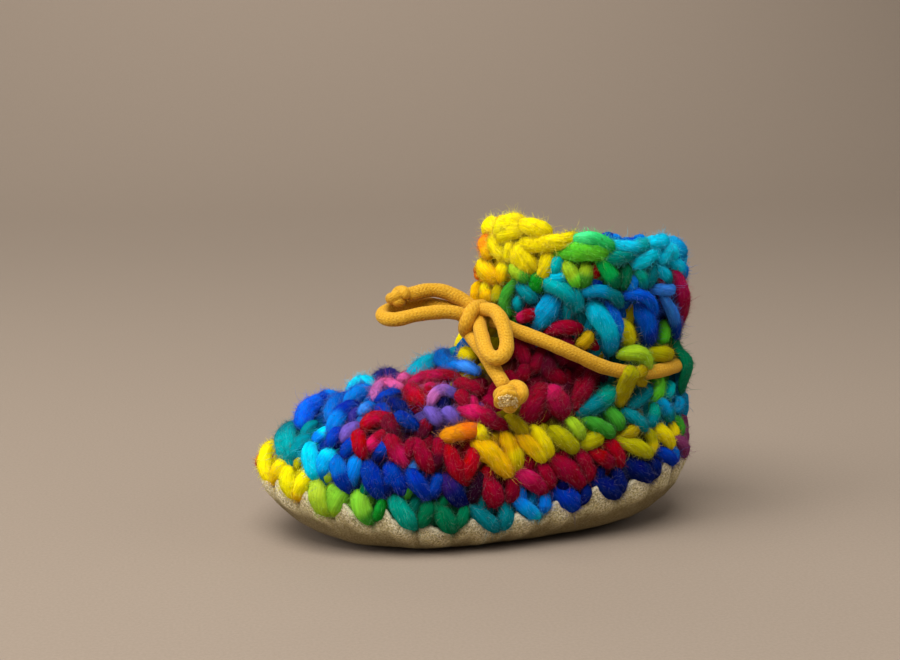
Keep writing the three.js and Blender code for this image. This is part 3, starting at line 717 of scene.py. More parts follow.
# ============================================================ wool strands
# Each strand lies on the last from its top to its bottom, as turn and section, with its width in
# millimetres, its yarn (one colour, or one running into another) and a point on its way where it bends.
# F lies in front, B half behind its pair, K is a back loop, H runs along the row, O does so beside the tie and
# T crosses the tie. A last number after @ lifts a strand, in millimetres.
STRANDS = """
# first row, toe to heel
F 0.5093 3.633 0.5013 3.167 3.2 orange>red
F 0.5140 3.950 0.4633 3.017 5.2 yellow
B 0.4373 3.950 0.4587 3.033 4.8 yellow>gold
F 0.4313 3.733 0.4140 2.867 5.4 yellow
B 0.3980 3.750 0.4100 2.833 5.1 yellow>gold
K 0.4213 4.133 0.4160 3.767 2.8 chart
F 0.3860 3.617 0.3700 2.450 5.6 sprout>lime
B 0.3567 3.600 0.3627 2.533 6.7 spring>lime
K 0.3727 4.033 0.3713 3.633 2.8 lime
F 0.3373 3.450 0.3240 2.483 5.6 spring>green
B 0.3127 3.333 0.3193 2.650 3.3 fern
K 0.3300 3.733 0.3320 3.400 2.5 emerald
F 0.3040 3.450 0.2827 2.300 5.3 sea
B 0.2727 3.283 0.2800 2.417 4.7 emerald
K 0.2900 3.767 0.2927 3.400 2.8 green
F 0.2673 3.233 0.2493 2.033 5.6 emerald
B 0.2487 3.117 0.2500 2.350 3.6 emerald @0.3
K 0.2600 3.433 0.2633 3.150 2.2 emerald
F 0.2467 3.100 0.2300 1.900 4.8 teal
B 0.2307 3.067 0.2287 1.850 5.1 teal
K 0.2427 3.417 0.2433 2.967 2.8 teal
F 0.2260 3.217 0.2087 2.383 4.2 azure>cyan
B 0.2087 3.233 0.2073 2.617 3.7 azure
K 0.2227 3.483 0.2220 3.083 3.1 azure
F 0.2013 3.283 0.1827 2.600 6.8 blue
B 0.1800 3.300 0.1827 2.700 3.1 navy
K 0.1973 3.567 0.1980 3.217 3.4 ink @0.6
F 0.1747 3.400 0.1467 2.750 6.0 navy
B 0.1573 3.600 0.1473 2.783 4.3 navy
K 0.1700 3.733 0.1707 3.367 3.2 navy
F 0.1467 3.683 0.1120 2.933 6.4 navy
B 0.1187 3.617 0.1093 2.950 4.1 navy
K 0.1387 3.800 0.1413 3.500 2.9 navy
F 0.1120 3.783 0.0773 3.150 4.4 blue
B 0.0887 3.767 0.0740 3.117 3.0 azure>blue
K 0.1047 3.883 0.1080 3.633 2.6 purple
F 0.0867 4.033 0.0527 3.150 4.2 mauve @0.9
# second row
F 0.5100 4.867 0.4260 3.967 6.6 teal>aqua
B 0.4380 4.833 0.4287 3.983 5.1 teal
K 0.4700 5.250 0.4467 4.800 3.1 teal
F 0.4193 4.583 0.3847 3.700 4.8 cyan
B 0.3853 4.550 0.3800 3.750 4.7 cyan>azure
K 0.4273 5.217 0.4207 4.733 3.4 cyan>azure
F 0.3733 4.350 0.3453 3.533 4.7 azure>blue
B 0.3507 4.467 0.3440 3.683 3.9 azure
F 0.3380 4.333 0.3127 3.433 5.3 blue
B 0.3100 4.183 0.3087 3.517 3.6 blue>navy
F 0.3153 4.283 0.2947 3.600 4.7 blue
F 0.2953 4.133 0.2733 3.467 4.7 blue
B 0.2687 4.000 0.2720 3.483 3.6 blue
K 0.2933 4.450 0.2927 4.133 2.5 sky
F 0.2660 3.967 0.2480 3.217 5.0 purple>navy
B 0.2453 3.950 0.2473 3.267 3.9 aubergine
F 0.2447 3.850 0.2347 3.133 5.6 crimson
B 0.2293 3.767 0.2287 3.183 3.9 crimson
K 0.2420 4.150 0.2427 3.800 3.4 red
F 0.2273 3.933 0.2087 3.333 4.5 rose>crimson
B 0.2147 4.100 0.2053 3.433 3.7 crimson
K 0.2213 4.300 0.2220 3.933 3.4 crimson
F 0.2087 4.200 0.1827 3.333 5.7 crimson
B 0.1907 4.333 0.1780 3.467 4.6 crimson
K 0.1987 4.450 0.2013 4.167 2.8 crimson
F 0.1813 4.300 0.1620 3.783 3.7 red>crimson
B 0.1687 4.533 0.1527 3.683 4.3 red
K 0.1733 4.583 0.1747 4.283 2.6 crimson
F 0.1573 4.467 0.1213 3.767 4.0 chart
B 0.1273 4.600 0.1187 3.850 3.2 chart>yellow
K 0.1100 4.067 0.0967 3.517 3.5 navy
# third row
F 0.5520 5.567 0.4733 5.050 6.2 royal @0.4
F 0.5180 5.933 0.4440 5.450 4.6 blue>azure
F 0.4660 5.933 0.4067 5.083 4.6 blue>azure
B 0.4033 5.200 0.3900 4.700 3.4 blue
B 0.3920 5.417 0.3793 4.883 3.9 lavender
B 0.3667 4.933 0.3647 4.467 3.6 blue
K 0.4433 5.867 0.4153 5.533 3.1 violet
H 0.3787 5.367 0.3560 5.567 4.2 red>crimson 0.3740 5.567
F 0.3760 5.217 0.3427 4.500 3.9 red
B 0.3447 5.250 0.3447 4.717 3.9 crimson>rose
B 0.3313 4.950 0.3293 4.433 3.9 blue>navy
F 0.3393 5.133 0.3007 4.400 5.5 wine>rose
B 0.3073 5.017 0.3027 4.500 3.3 crimson
F 0.3053 5.000 0.2760 4.200 4.7 crimson
B 0.2833 5.017 0.2733 4.250 3.9 crimson>plum
F 0.2753 4.883 0.2500 3.817 4.4 red
B 0.2507 4.700 0.2500 3.867 3.9 red @0.3
F 0.2527 4.950 0.2307 3.917 5.6 gold
B 0.2420 5.117 0.2273 4.067 4.8 gold>yellow
K 0.2233 4.400 0.2207 3.983 3.4 crimson
F 0.2333 5.017 0.2133 4.233 4.2 gold>yellow
B 0.2273 5.217 0.2093 4.350 3.9 yellow
F 0.2133 5.050 0.1927 4.417 5.1 chart
B 0.2053 5.383 0.1893 4.750 3.4 lime
B 0.1873 4.500 0.1747 4.750 5.1 chart
F 0.1913 5.300 0.1647 4.700 4.0 green
B 0.1733 5.500 0.1560 4.883 4.3 green
B 0.1540 4.567 0.1393 4.817 2.9 olive
F 0.1167 4.583 0.0880 3.700 4.4 yellow
B 0.0873 4.483 0.0847 3.833 3.0 yellow
F 0.0780 4.600 0.0720 3.950 2.7 green
# fourth row and the vamp
F 0.3747 5.733 0.3267 5.133 4.2 wine>plum
K 0.3213 5.683 0.3047 5.100 3.9 crimson>plum
H 0.2820 5.100 0.2587 5.283 4.2 amber>orange 0.2707 5.217
B 0.2620 5.400 0.2487 4.983 3.3 yellow
F 0.2973 5.883 0.2447 5.333 4.2 rose>crimson 0.2673 5.667
B 0.2467 5.567 0.2293 5.033 3.9 olive
F 0.2347 5.450 0.2440 6.600 5.6 crimson
F 0.2407 6.517 0.2073 5.500 6.2 rose>crimson
B 0.2127 6.733 0.2040 5.683 3.7 crimson
F 0.1713 6.233 0.1973 5.517 5.1 sea>teal
T 0.1713 7.033 0.1620 5.583 4.9 chart>olive 0.1653 6.300
B 0.1240 5.983 0.1507 5.450 3.8 teal
F 0.1553 5.367 0.1300 4.650 3.7 teal
B 0.1160 5.317 0.1240 4.667 3.5 sea>teal
F 0.1120 5.450 0.0920 4.683 3.8 lagoon>teal
B 0.0607 5.183 0.0760 4.800 2.7 lagoon
B 0.1060 6.267 0.1180 5.483 3.8 leaf
K 0.0820 5.850 0.0907 5.450 3.2 aqua @1.2
F 0.3633 5.733 0.3200 5.417 3.6 blue
F 0.4060 6.133 0.3560 5.817 3.9 navy
F 0.3353 5.917 0.3000 5.500 3.6 lavender
B 0.3147 5.900 0.2847 5.533 3.6 lavender
H 0.3460 6.133 0.3413 6.450 2.5 lilac>lavender 0.3607 6.467
F 0.4453 6.617 0.3587 6.183 5.1 crimson>red
B 0.4133 6.750 0.3653 6.317 3.4 rose>crimson
K 0.3560 6.450 0.3267 6.067 3.9 ink
B 0.3420 6.567 0.2973 6.033 3.7 crimson
K 0.3140 6.417 0.2880 5.967 2.8 rose
H 0.4540 6.667 0.4020 7.017 3.5 rose>crimson 0.4373 6.883
F 0.3787 6.850 0.3113 6.533 3.7 crimson
H 0.4420 6.167 0.4373 6.500 2.9 lilac>pink 0.4820 6.433
F 0.4240 6.067 0.4253 6.383 3.4 blue
B 0.4847 6.633 0.4727 6.717 2.6 pink @0.5
H 0.5267 6.333 0.5200 6.633 3.9 violet 0.5487 6.467
H 0.5167 6.017 0.5173 6.317 3.0 cyan 0.5347 6.167 @0.4
F 0.5100 6.267 0.4700 5.833 5.0 azure
B 0.4220 5.983 0.4100 5.683 3.4 azure>sky
F 0.4027 5.917 0.3700 5.717 3.4 blue
B 0.4000 6.017 0.3767 5.917 2.8 ink
F 0.4887 6.800 0.5253 7.183 7.1 ice>cyan @0.9
F 0.5553 7.317 0.4273 7.233 4.4 azure
H 0.4427 7.167 0.3720 7.150 3.2 azure>sky 0.4100 7.217
F 0.4460 7.467 0.4127 7.467 4.3 yellow @0.8
F 0.5387 5.767 0.5287 5.450 4.2 azure>blue
# tie row
F 0.3673 7.933 0.3033 7.333 4.3 wine>crimson
B 0.3060 7.717 0.2793 7.100 4.0 wine
B 0.3033 7.333 0.2813 6.850 3.7 wine>crimson
F 0.2913 7.583 0.2307 6.750 5.1 plum>crimson
F 0.2080 6.967 0.2060 5.817 4.3 wine>crimson
K 0.1947 7.033 0.1780 6.367 4.6 aubergine @-0.6
K 0.2333 6.983 0.2247 6.350 4.0 crimson>plum
F 0.3160 7.117 0.2573 6.383 4.2 crimson
K 0.3147 6.883 0.2880 6.350 3.7 crimson
K 0.2947 6.367 0.2567 5.850 3.4 crimson
# stitches over the tie
O 0.1873 7.483 0.1373 6.567 4.3 lime 0.1620 7.450 @1.2
T 0.1487 6.900 0.1420 6.150 3.5 olive 0.1560 6.467
O 0.1360 7.333 0.0860 7.000 4.1 chart>olive 0.1127 7.283
T .0460 8.60 .0610 5.40 7.8 emerald .0540 6.95 @.9
B .0440 8.75 .0500 7.50 7.2 emerald @2.0
# cuff posts
H 0.3847 8.517 0.3567 8.783 2.8 rose>crimson
F 0.3340 9.300 0.3453 8.317 5.7 lagoon
K 0.3080 9.233 0.2993 8.500 4.0 teal
H 0.3207 8.167 0.2727 8.317 3.7 crimson 0.3020 8.400
H 0.2507 8.117 0.2513 7.800 3.7 ochre
K 0.2553 8.033 0.2200 7.583 3.1 wine
F 0.2687 9.133 0.2007 7.483 5.7 cyan>lagoon @0.4
B 0.2447 9.150 0.2053 7.867 3.4 royal>azure
B 0.2167 8.500 0.1740 7.633 4.3 chart>yellow
F 0.1900 9.000 0.1347 7.550 6.1 royal>blue
B 0.1093 8.383 0.1027 7.600 3.5 leaf @0.8
F 0.1480 9.267 0.0480 7.567 3.5 sky>blue @2.0
F 0.1300 10.033 0.0587 8.083 4.7 rose>crimson @2.6
K 0.1133 9.617 0.0633 8.517 4.4 wine @2.6
# cuff caps
H 0.3513 9.683 0.2887 9.017 4.5 aqua>teal 0.3173 9.567
B 0.3007 9.650 0.2867 8.933 2.5 teal
H 0.2840 9.517 0.2287 9.150 3.4 lagoon>teal 0.2540 9.583
H 0.2233 9.400 0.1527 8.833 3.1 royal 0.1953 9.417
H 0.1740 9.600 0.1187 9.567 3.2 sky @0.4
F 0.4067 9.533 0.4087 8.600 2.9 green 0.4240 9.000
F 0.3980 9.450 0.3607 9.167 3.7 teal
B 0.3953 9.117 0.3893 8.750 2.9 teal
# cuff upper course
F 0.5240 9.700 0.4500 9.467 5.0 yellow>gold @1.4
B 0.4373 9.933 0.4447 9.367 3.7 yellow>gold
K 0.5287 9.117 0.5180 8.683 4.2 gold @4.0
F 0.4893 9.250 0.4700 8.783 4.1 yellow>gold @0.8
B 0.4527 9.317 0.4487 8.833 3.2 olive>chart
K 0.5267 9.617 0.5260 9.317 3.3 red>orange @3.4
F 0.4180 9.900 0.3787 9.683 3.7 lime>green
B 0.3607 9.883 0.3667 9.400 4.0 fern
B 0.3393 9.883 0.3167 10.050 3.4 ice>cyan
F 0.3320 10.433 0.3333 10.067 2.5 aqua
F 0.3247 10.367 0.2967 9.783 3.9 lime>leaf
B 0.2880 10.367 0.2900 9.717 3.4 lime>green
K 0.2753 10.333 0.2720 10.017 2.8 red
F 0.2660 10.500 0.2420 9.700 3.9 jade>emerald
B 0.2307 10.350 0.2313 9.650 3.1 emerald
F 0.2133 10.233 0.1953 9.667 2.8 sea>teal
B 0.1813 10.350 0.1893 9.683 3.4 teal
B 0.2187 10.000 0.2193 9.567 3.4 azure
K 0.2753 9.900 0.2647 9.617 3.4 blue
F 0.1747 10.300 0.1373 9.800 3.4 cyan>teal
K 0.1607 9.967 0.1533 9.700 2.6 crimson @1.2
K 0.0967 10.033 0.0693 9.617 2.9 rose @1.0
F 0.1440 10.450 0.0700 9.850 3.5 cyan>azure @0.6
# cuff course under the rim, front
F 0.5133 10.350 0.4760 9.983 3.8 orange>gold @1.1
F 0.4920 10.383 0.4347 10.083 4.1 yellow
B 0.4233 10.500 0.4273 10.050 3.1 yellow
F 0.4213 10.433 0.3720 9.967 5.7 yellow
B 0.3473 10.533 0.3567 9.833 4.2 yellow
# rim chain
H 0.4713 10.567 0.4120 11.217 4.6 yellow 0.4413 10.900
H 0.4587 10.500 0.4007 11.117 4.0 yellow 0.4260 10.717
H 0.4067 11.083 0.3527 11.183 3.9 yellow 0.3780 11.217
H 0.4013 10.533 0.3093 11.200 3.9 yellow 0.3527 10.783
H 0.3347 10.533 0.2493 10.783 4.5 leaf 0.2893 10.783
H 0.3073 11.150 0.2480 10.800 3.1 mint>jade 0.2707 11.233
H 0.2573 10.567 0.2147 10.750 3.9 sea>teal 0.2380 10.667
H 0.2480 11.050 0.1933 11.067 2.5 ice>aqua 0.2240 10.967
H 0.2173 10.333 0.1713 10.800 4.5 ice>cyan 0.1980 10.583
H 0.1953 11.033 0.1567 11.150 3.7 ice>cyan 0.1753 11.100
F 0.1567 10.917 0.1693 10.417 3.4 ice @0.6
F 0.1473 10.900 0.1300 10.517 3.4 ice>cyan
"""

route = np.array(TIE_ROUTE)
TIE_FOOT = smooth_line(last(route[:, 0], route[:, 1]), 0.5)[0]     # where the band lies on the wool
strands = []          # every strand: centre line, frame, radii and colours, for fibres and linings


def strand(bundle, kind, u, v, width, colours, rings, sides, row, level=0.0):
    """One plump strand of roving along turn and section values given at -, mid and +."""
    s = np.linspace(0, 1, rings)
    reach = {"F": .10, "B": .10, "K": .16, "H": .12, "T": .05, "O": .10}[kind]
    t = -reach + (1 + 2 * reach) * s
    um, vm = u[1], v[1]
    lag = np.stack([(1 - t) * (1 - 2 * t), 4 * t * (1 - t), t * (2 * t - 1)], -1)
    uu, vv = lag @ np.array(u), lag @ np.array(v)
    rw = max(width * 0.50, 1.6) if row.startswith("first") else max(width * 0.56, 1.8)
    rh = min(rw * 0.7, 1.5) if kind == "T" else min(rw * 0.9, 2.7)
    crest, lift, top, bot = {
        "F": (.9, .3, 1.0, .55), "B": (.9, -.2, .9, .6), "K": (.9, -1.9, .5, .5),
        "H": (.9, .4, .9, .9), "T": (.9, .3, .9, .7), "O": (.9, 3.2, 1.4, 1.4),
    }[kind]
    if row.startswith("first"):
        bot, lift = 0.85, lift + .6
    if row.startswith(("rim", "cuff course", "cuff upper")):
        rw, rh = rw * 1.1, rh * 1.05
    jig = np.random.default_rng(int(abs(u[0]) * 1e5 + v[0] * 1e3) % 100000)
    sink = top * np.clip(1 - s / .4, 0, 1) ** 1.6 + bot * np.clip((s - .6) / .4, 0, 1) ** 1.6
    depth = -rh + crest + lift + level - rh * sink
    nrm = SIGN * outward(uu, vv)
    base = last(uu, vv)
    if kind == "T":
        gap = np.min(np.linalg.norm(base[:, None] - TIE_FOOT[None], axis=-1), 1)
        depth = depth + (CORD_D + tie_clear(uu) + .1 * rh - depth) * np.exp(-(gap / 4.2) ** 2)
    centre = base + nrm * depth[:, None]
    tangent = unit(np.gradient(centre, axis=0))
    nrm = unit(nrm - tangent * np.sum(nrm * tangent, -1, keepdims=True))
    side = np.cross(tangent, nrm)
    span = np.linalg.norm(centre[-1] - centre[0])
    if kind in "FBK":
        to_heel = last(uu - 2e-3, vv) - last(uu + 2e-3, vv)
        centre = centre + unit(to_heel) * (np.sin(np.pi * s) * span * jig.uniform(.02, .07))[:, None]
    if kind in "HO":
        body = 0.2 + 0.8 * np.clip(1 - np.abs(2 * s - 1) ** 4, 0, 1) ** 0.55
    else:
        body = 0.14 + 0.86 * np.clip(1 - np.abs(2 * s ** .9 - 1) ** 2.8, 0, 1) ** 0.55
    if row.startswith("first"):
        body = body * (1 - .42 * np.clip((s - .5) / .5, 0, 1) ** 1.3)
    p1, p2 = jig.uniform(0, 6.28, 2)
    body = body * (1 + .04 * np.sin(8 * s + p1) + .025 * np.sin(19 * s + p2))
    a = np.arange(sides) * 2 * np.pi / sides
    lobes = (1 + .045 * np.cos(3 * a[None] + 2.2 * s[:, None] + p1) + .03 * np.cos(5 * a[None] - 3 * s[:, None] + p2)
             + .02 * jig.normal(size=(rings, sides)))
    c0, c1 = colours
    blend = np.clip((s + .12 * np.sin(9 * s + p1) - .3) / .4, 0, 1)[:, None]
    blend = blend * blend * (3 - 2 * blend)
    # a random tone for each strand, and painted shade: each strand darker towards its two ends, where they tuck under
    # their neighbours
    tone_and_end_shade = (1 + .07 * jig.normal()) * (1 - .32 * np.abs(2 * s - 1) ** 3)[:, None]
    colour = np.clip((c0 * (1 - blend) + c1 * blend) * tone_and_end_shade, 0, 1)
    bundle.tube(centre, side, nrm, rw * body, rh * body, {"yarn": colour}, sides, twist=0.11, bump=lobes)
    strands.append(dict(centre=centre, side=side, nrm=nrm, rw=rw * body, rh=rh * body, colour=colour,
                        mid=centre[rings // 2], row=row, kind=kind, level=level, tangent=tangent))


def paint(name):
    a, _, b = name.partition(">")
    return YARN[a], YARN[b or a]


def hand_strands():
    bundle, row = Bundle(), ""
    for line in STRANDS.strip().splitlines():
        if line.startswith("#"):
            row = line[1:].strip()
            continue
        w = line.split()
        level = float(w.pop()[1:]) if w[-1][0] == "@" else 0.0
        x = [float(t) for t in w[1:6]]
        um, vm = (float(w[7]), float(w[8])) if len(w) > 7 else ((x[0] + x[2]) / 2, (x[1] + x[3]) / 2)
        strand(bundle, w[0], (x[0], um, x[2]), (x[1], vm, x[3]), x[4], paint(w[6]), 20, 14, row, level)
    return bundle


near = hand_strands()
near_mids = np.array([s["mid"] for s in strands])
near_cols = np.array([s["colour"].mean(0) for s in strands])
near_main = np.array([s["kind"] in "FB" for s in strands])
near_lines = np.concatenate([s["centre"] for s in strands if s["kind"] != "K"])

# Rows of vees that go all round: section, stitches, phase, height and radius in millimetres, the part of the
# turn that a short row covers, and the yarn from toe to heel on the far side.
ROWS = [
    ("first row", 2.95, 27, .22, 9.4, 2.75, None,
     "orange red crimson crimson plum purple navy navy blue azure blue navy purple plum"),
    ("second row", 3.75, 27, .30, 9.6, 2.8, None,
     "sea green lime chart yellow gold orange red crimson plum purple navy blue navy"),
    ("third row", 4.75, 26, .35, 10.4, 2.8, None,
     "azure cyan teal sea green lime yellow gold orange red crimson plum purple chart"),
    ("fourth row", 5.75, 22, .40, 11.5, 2.85, None,
     "blue azure purple plum crimson red orange gold yellow lime green teal"),
    ("short row", 6.35, 26, .45, 11.0, 2.8, (.34, .66), "blue azure cyan teal sea green"),
    ("tie row", 6.75, 18, .45, 12.0, 2.9, None,
     "blue azure purple crimson orange gold lime green teal azure"),
    ("short row two", 7.25, 20, .50, 11.0, 2.8, (.36, .64), "azure blue azure blue purple"),
    ("tie row two", 7.7, 16, .50, 10.0, 2.9, None,
     "chart yellow yellow gold orange red crimson plum purple blue teal green"),
    ("cuff posts", 8.45, 15, .20, 11.5, 2.9, None,
     "gold orange red crimson plum purple navy blue azure teal"),
    ("cuff caps", 9.15, 15, .50, 6.0, 2.4, None,
     "yellow gold orange red crimson purple navy blue azure cyan"),
    ("cuff upper course", 9.75, 15, .50, 9.0, 2.7, None,
     "orange gold yellow lime green teal azure blue navy crimson"),
    ("cuff under rim", 10.4, 15, .20, 8.0, 2.7, None,
     "yellow orange crimson plum purple navy blue azure cyan azure"),
]


def nearest_colour(p):
    d = np.linalg.norm(near_mids[None] - p[:, None], axis=-1) + 50.0 * ~near_main
    return near_cols[np.argmin(d, 1)]


EYE = TARGET + DISTANCE * np.array([math.sin(AZIMUTH) * math.cos(ELEVATION),
                                    -math.cos(AZIMUTH) * math.cos(ELEVATION), math.sin(ELEVATION)])


BACK = unit(EYE - TARGET)
RIGHT = np.array([math.cos(AZIMUTH), math.sin(AZIMUTH), 0.0])
ABOVE = np.cross(BACK, RIGHT)


def shown(p):
    """Places across and up in the photo's view, in millimetres at the middle of the slipper."""
    rel = p - EYE
    deep = -(rel @ BACK) / DISTANCE
    return (rel @ RIGHT) / deep, (rel @ ABOVE) / deep


def vamp_outline():
    """The upper outline of the listed strands from the toe to the bow, as height over place."""
    a = np.linspace(0, 2 * np.pi, 14, endpoint=False)
    x, y = [], []
    for s in strands:
        if s["row"].startswith(("first", "second", "third", "fourth")) and s["kind"] != "K":
            q = (s["centre"][:, None] + s["side"][:, None] * (s["rw"][:, None] * np.cos(a))[..., None]
                 + s["nrm"][:, None] * (s["rh"][:, None] * np.sin(a))[..., None])
            px, py = shown(q.reshape(-1, 3))
            x.append(px)
            y.append(py)
    x, y = np.concatenate(x), np.concatenate(y)
    grid = np.arange(-58.0, 0.4, .5)
    top = np.array([np.max(y[np.abs(x - g) < .8], initial=-99) for g in grid])
    ok = top > -90
    return grid, np.interp(grid, grid[ok], top[ok])


OUTLINE = vamp_outline()


def above_outline(p):
    """How far points stand over that outline, in millimetres; nothing outside its run."""
    x, y = shown(p)
    over = y - np.interp(x, *OUTLINE)
    return np.where((x > OUTLINE[0][0]) & (x < OUTLINE[0][-1]), over, -9.0)


def facing(u, v):
    """How far the wall at a place is turned to the near side, 0 along the outline that the photo shows."""
    return float(np.sum(SIGN * outward(u, v) * unit(EYE - last(u, v))))


def round_rows(under, full):
    """Vees all round; where strands are listed one by one, these lie behind them and show as back loops."""
    for name, v, count, phase, high, radius, part, yarn in ROWS:
        turns, pitch = row_turns(v, count, phase)
        yarn = [YARN[y] for y in yarn.split()]
        for k, u in enumerate(turns):
            if part and not part[0] < u < part[1]:
                continue
            if name == "first row":
                end = abs(math.cos(2 * math.pi * u)) ** EDGE_FALL
                vc = EDGE_SIDE + (EDGE_END - EDGE_SIDE) * end + .38
            else:
                vc = v
            ku, kv = per_mm(np.array(u), np.array(vc))
            jig = np.random.default_rng(int(v * 1000) + k)
            f = (u - .5) / .5 if u >= .5 else 0.0
            pick = min(int(f * len(yarn)), len(yarn) - 1)
            c0 = yarn[pick]
            c1 = yarn[min(pick + (1 if jig.uniform() < .4 else 0), len(yarn) - 1)]
            if name == "cuff caps":
                legs = [("H", -.52, .10, .50, -.12, 1.0)]
            elif name == "cuff posts":
                legs = [("F", -.22, .50, .10, -.50, 1.05), ("B", .26, .48, .22, -.46, .85)]
            else:
                legs = [("F", -.45, .48, .08, -.56, 1.0), ("B", .46, .44, .10, -.52, .86)]
            for kind, s0, t0, s1, t1, fat in legs:
                s0, s1 = s0 + jig.normal() * .03, s1 + jig.normal() * .03
                u0, u1 = u - s0 * pitch * ku, u - s1 * pitch * ku
                v0, v1 = vc + t0 * high * kv, vc + t1 * high * kv
                mid = last(np.array((u0 + u1) / 2), np.array((v0 + v1) / 2))
                gap = np.min(np.linalg.norm(near_lines - mid, axis=1))
                width = 2 * radius * fat * (1 + .06 * jig.normal())
                if gap < 4.6:
                    # back loops take the nearest front strand's colour at half brightness: painted shade in the gaps
                    # behind the front strands
                    c = nearest_colour(mid[None])[0] * .5
                    strand(under, "K", (u0, (u0 + u1) / 2, u1), (v0, (v0 + v1) / 2, v1), width * .82,
                           (c, c), 9, 8, name, -.5)
                else:
                    if u < .5:
                        c0 = c1 = nearest_colour(mid[None])[0]
                    turned = facing(np.array((u0 + u1) / 2), np.array((v0 + v1) / 2))
                    sunken = .4
                    if vc < 8 and turned < .3:
                        f = np.linspace(.12, .88, 9)
                        place = sunk(u0 + (u1 - u0) * f, v0 + (v1 - v0) * f, np.full(9, -.9))
                        sunken += float(np.clip(np.max(above_outline(place)) + .5, 0, 5.2))
                    strand(full, kind, (u0, (u0 + u1) / 2, u1), (v0, (v0 + v1) / 2, v1), width,
                           (c0, c1), 16, 12, name, -sunken)
    # the rim's chain
    turns, pitch = row_turns(10.9, 15, .3)
    yarn = [YARN[y] for y in "yellow yellow orange crimson purple blue blue blue blue azure azure".split()]
    for k, u in enumerate(turns):
        ku, kv = per_mm(np.array(u), np.array(10.9))
        jig = np.random.default_rng(900 + k)
        f = (u - .5) / .5 if u >= .5 else 0.0
        c = yarn[min(int(f * len(yarn)), len(yarn) - 1)]
        rest = 10.45 if .68 < u < .97 else 10.68
        back = 1.8 * math.exp(-(min(u, 1 - u) / .07) ** 2)
        for lane, (dv, fat, level) in enumerate(((0.0, 5.4, -.3 - back), (.04, 4.6, -3.6))):
            u0, u1 = u + .62 * pitch * ku, u - .58 * pitch * ku
            v0, v1 = rest + dv + .05, rest + dv - .1
            mid = last(np.array((u0 + u1) / 2), np.array(rest + dv))
            gap = np.min(np.linalg.norm(near_lines - mid, axis=1))
            col = nearest_colour(mid[None])[0] if u < .5 else c
            if lane == 0 and gap < 4.6:
                continue
            strand(full, "H", (u0, u, u1), (v0, rest + dv, v1), fat, (col, col), 16, 12, "rim chain", level)


under, full = Bundle(), Bundle()
round_rows(under, full)


def inside_strands():
    """Bumps of the stitches on the inside of the leg and round the foot."""
    inner = Bundle()
    mids = np.array([s["mid"] for s in strands])
    cols = np.array([s["colour"].mean(0) for s in strands])
    for row, (v, count) in enumerate(((5.6, 20), (6.5, 17), (7.2, 16), (7.9, 15), (8.55, 15), (9.2, 15), (9.85, 15), (10.45, 15))):
        turns, pitch = row_turns(v, count, .5 * (row % 2))
        for k, u in enumerate(turns):
            if v < 7.5 and .36 < u < .64:
                continue
            ku, kv = per_mm(np.array(u), np.array(v))
            jig = np.random.default_rng(5000 + 97 * row + k)
            p = last(np.array(u), np.array(v))
            if v < 8 and above_outline(sunk(np.array(u), np.array(v), np.array(3.2))) > -1.5:
                continue
            # the inside stitches at .8 of the nearest outside colour: painted shade inside the leg
            c = cols[np.argmin(np.linalg.norm(mids - p, axis=1))] * .8
            tilt = jig.normal() * 1.0 + 1.2
            strand(inner, "H", (u + .55 * pitch * ku, u, u - .55 * pitch * ku),
                   (v + tilt * kv, v, v - tilt * kv), 4.9, (c, c), 12, 10, "inside", -4.6)
    return inner


outer_count = len(strands)
inner = inside_strands()
for name, bundle in (("wool_stitches_near", near), ("wool_stitches_round", full),
                     ("wool_back_loops", under), ("wool_stitches_inside", inner)):
    piece = bundle.build(name, WOOL, "wool")
    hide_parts("upper")


# ============================================================ wool lining shell, darkened as painted shade
def edge_v(u, run):
    """The sewn edge: run is the arc fraction from the heel in stitches."""
    end = np.abs(np.cos(2 * np.pi * u)) ** EDGE_FALL
    scallop = np.cos(2 * np.pi * (run - STITCH_PHASE))
    return EDGE_SIDE + (EDGE_END - EDGE_SIDE) * end, scallop


def feather_run(u):
    fine = np.linspace(0, 1, 2001)
    p = last(fine, np.full_like(fine, 3.0))
    run = np.concatenate([[0], np.cumsum(np.linalg.norm(np.diff(p, axis=0), axis=1))])
    return np.interp(u % 1, fine, run / run[-1]) * STITCHES


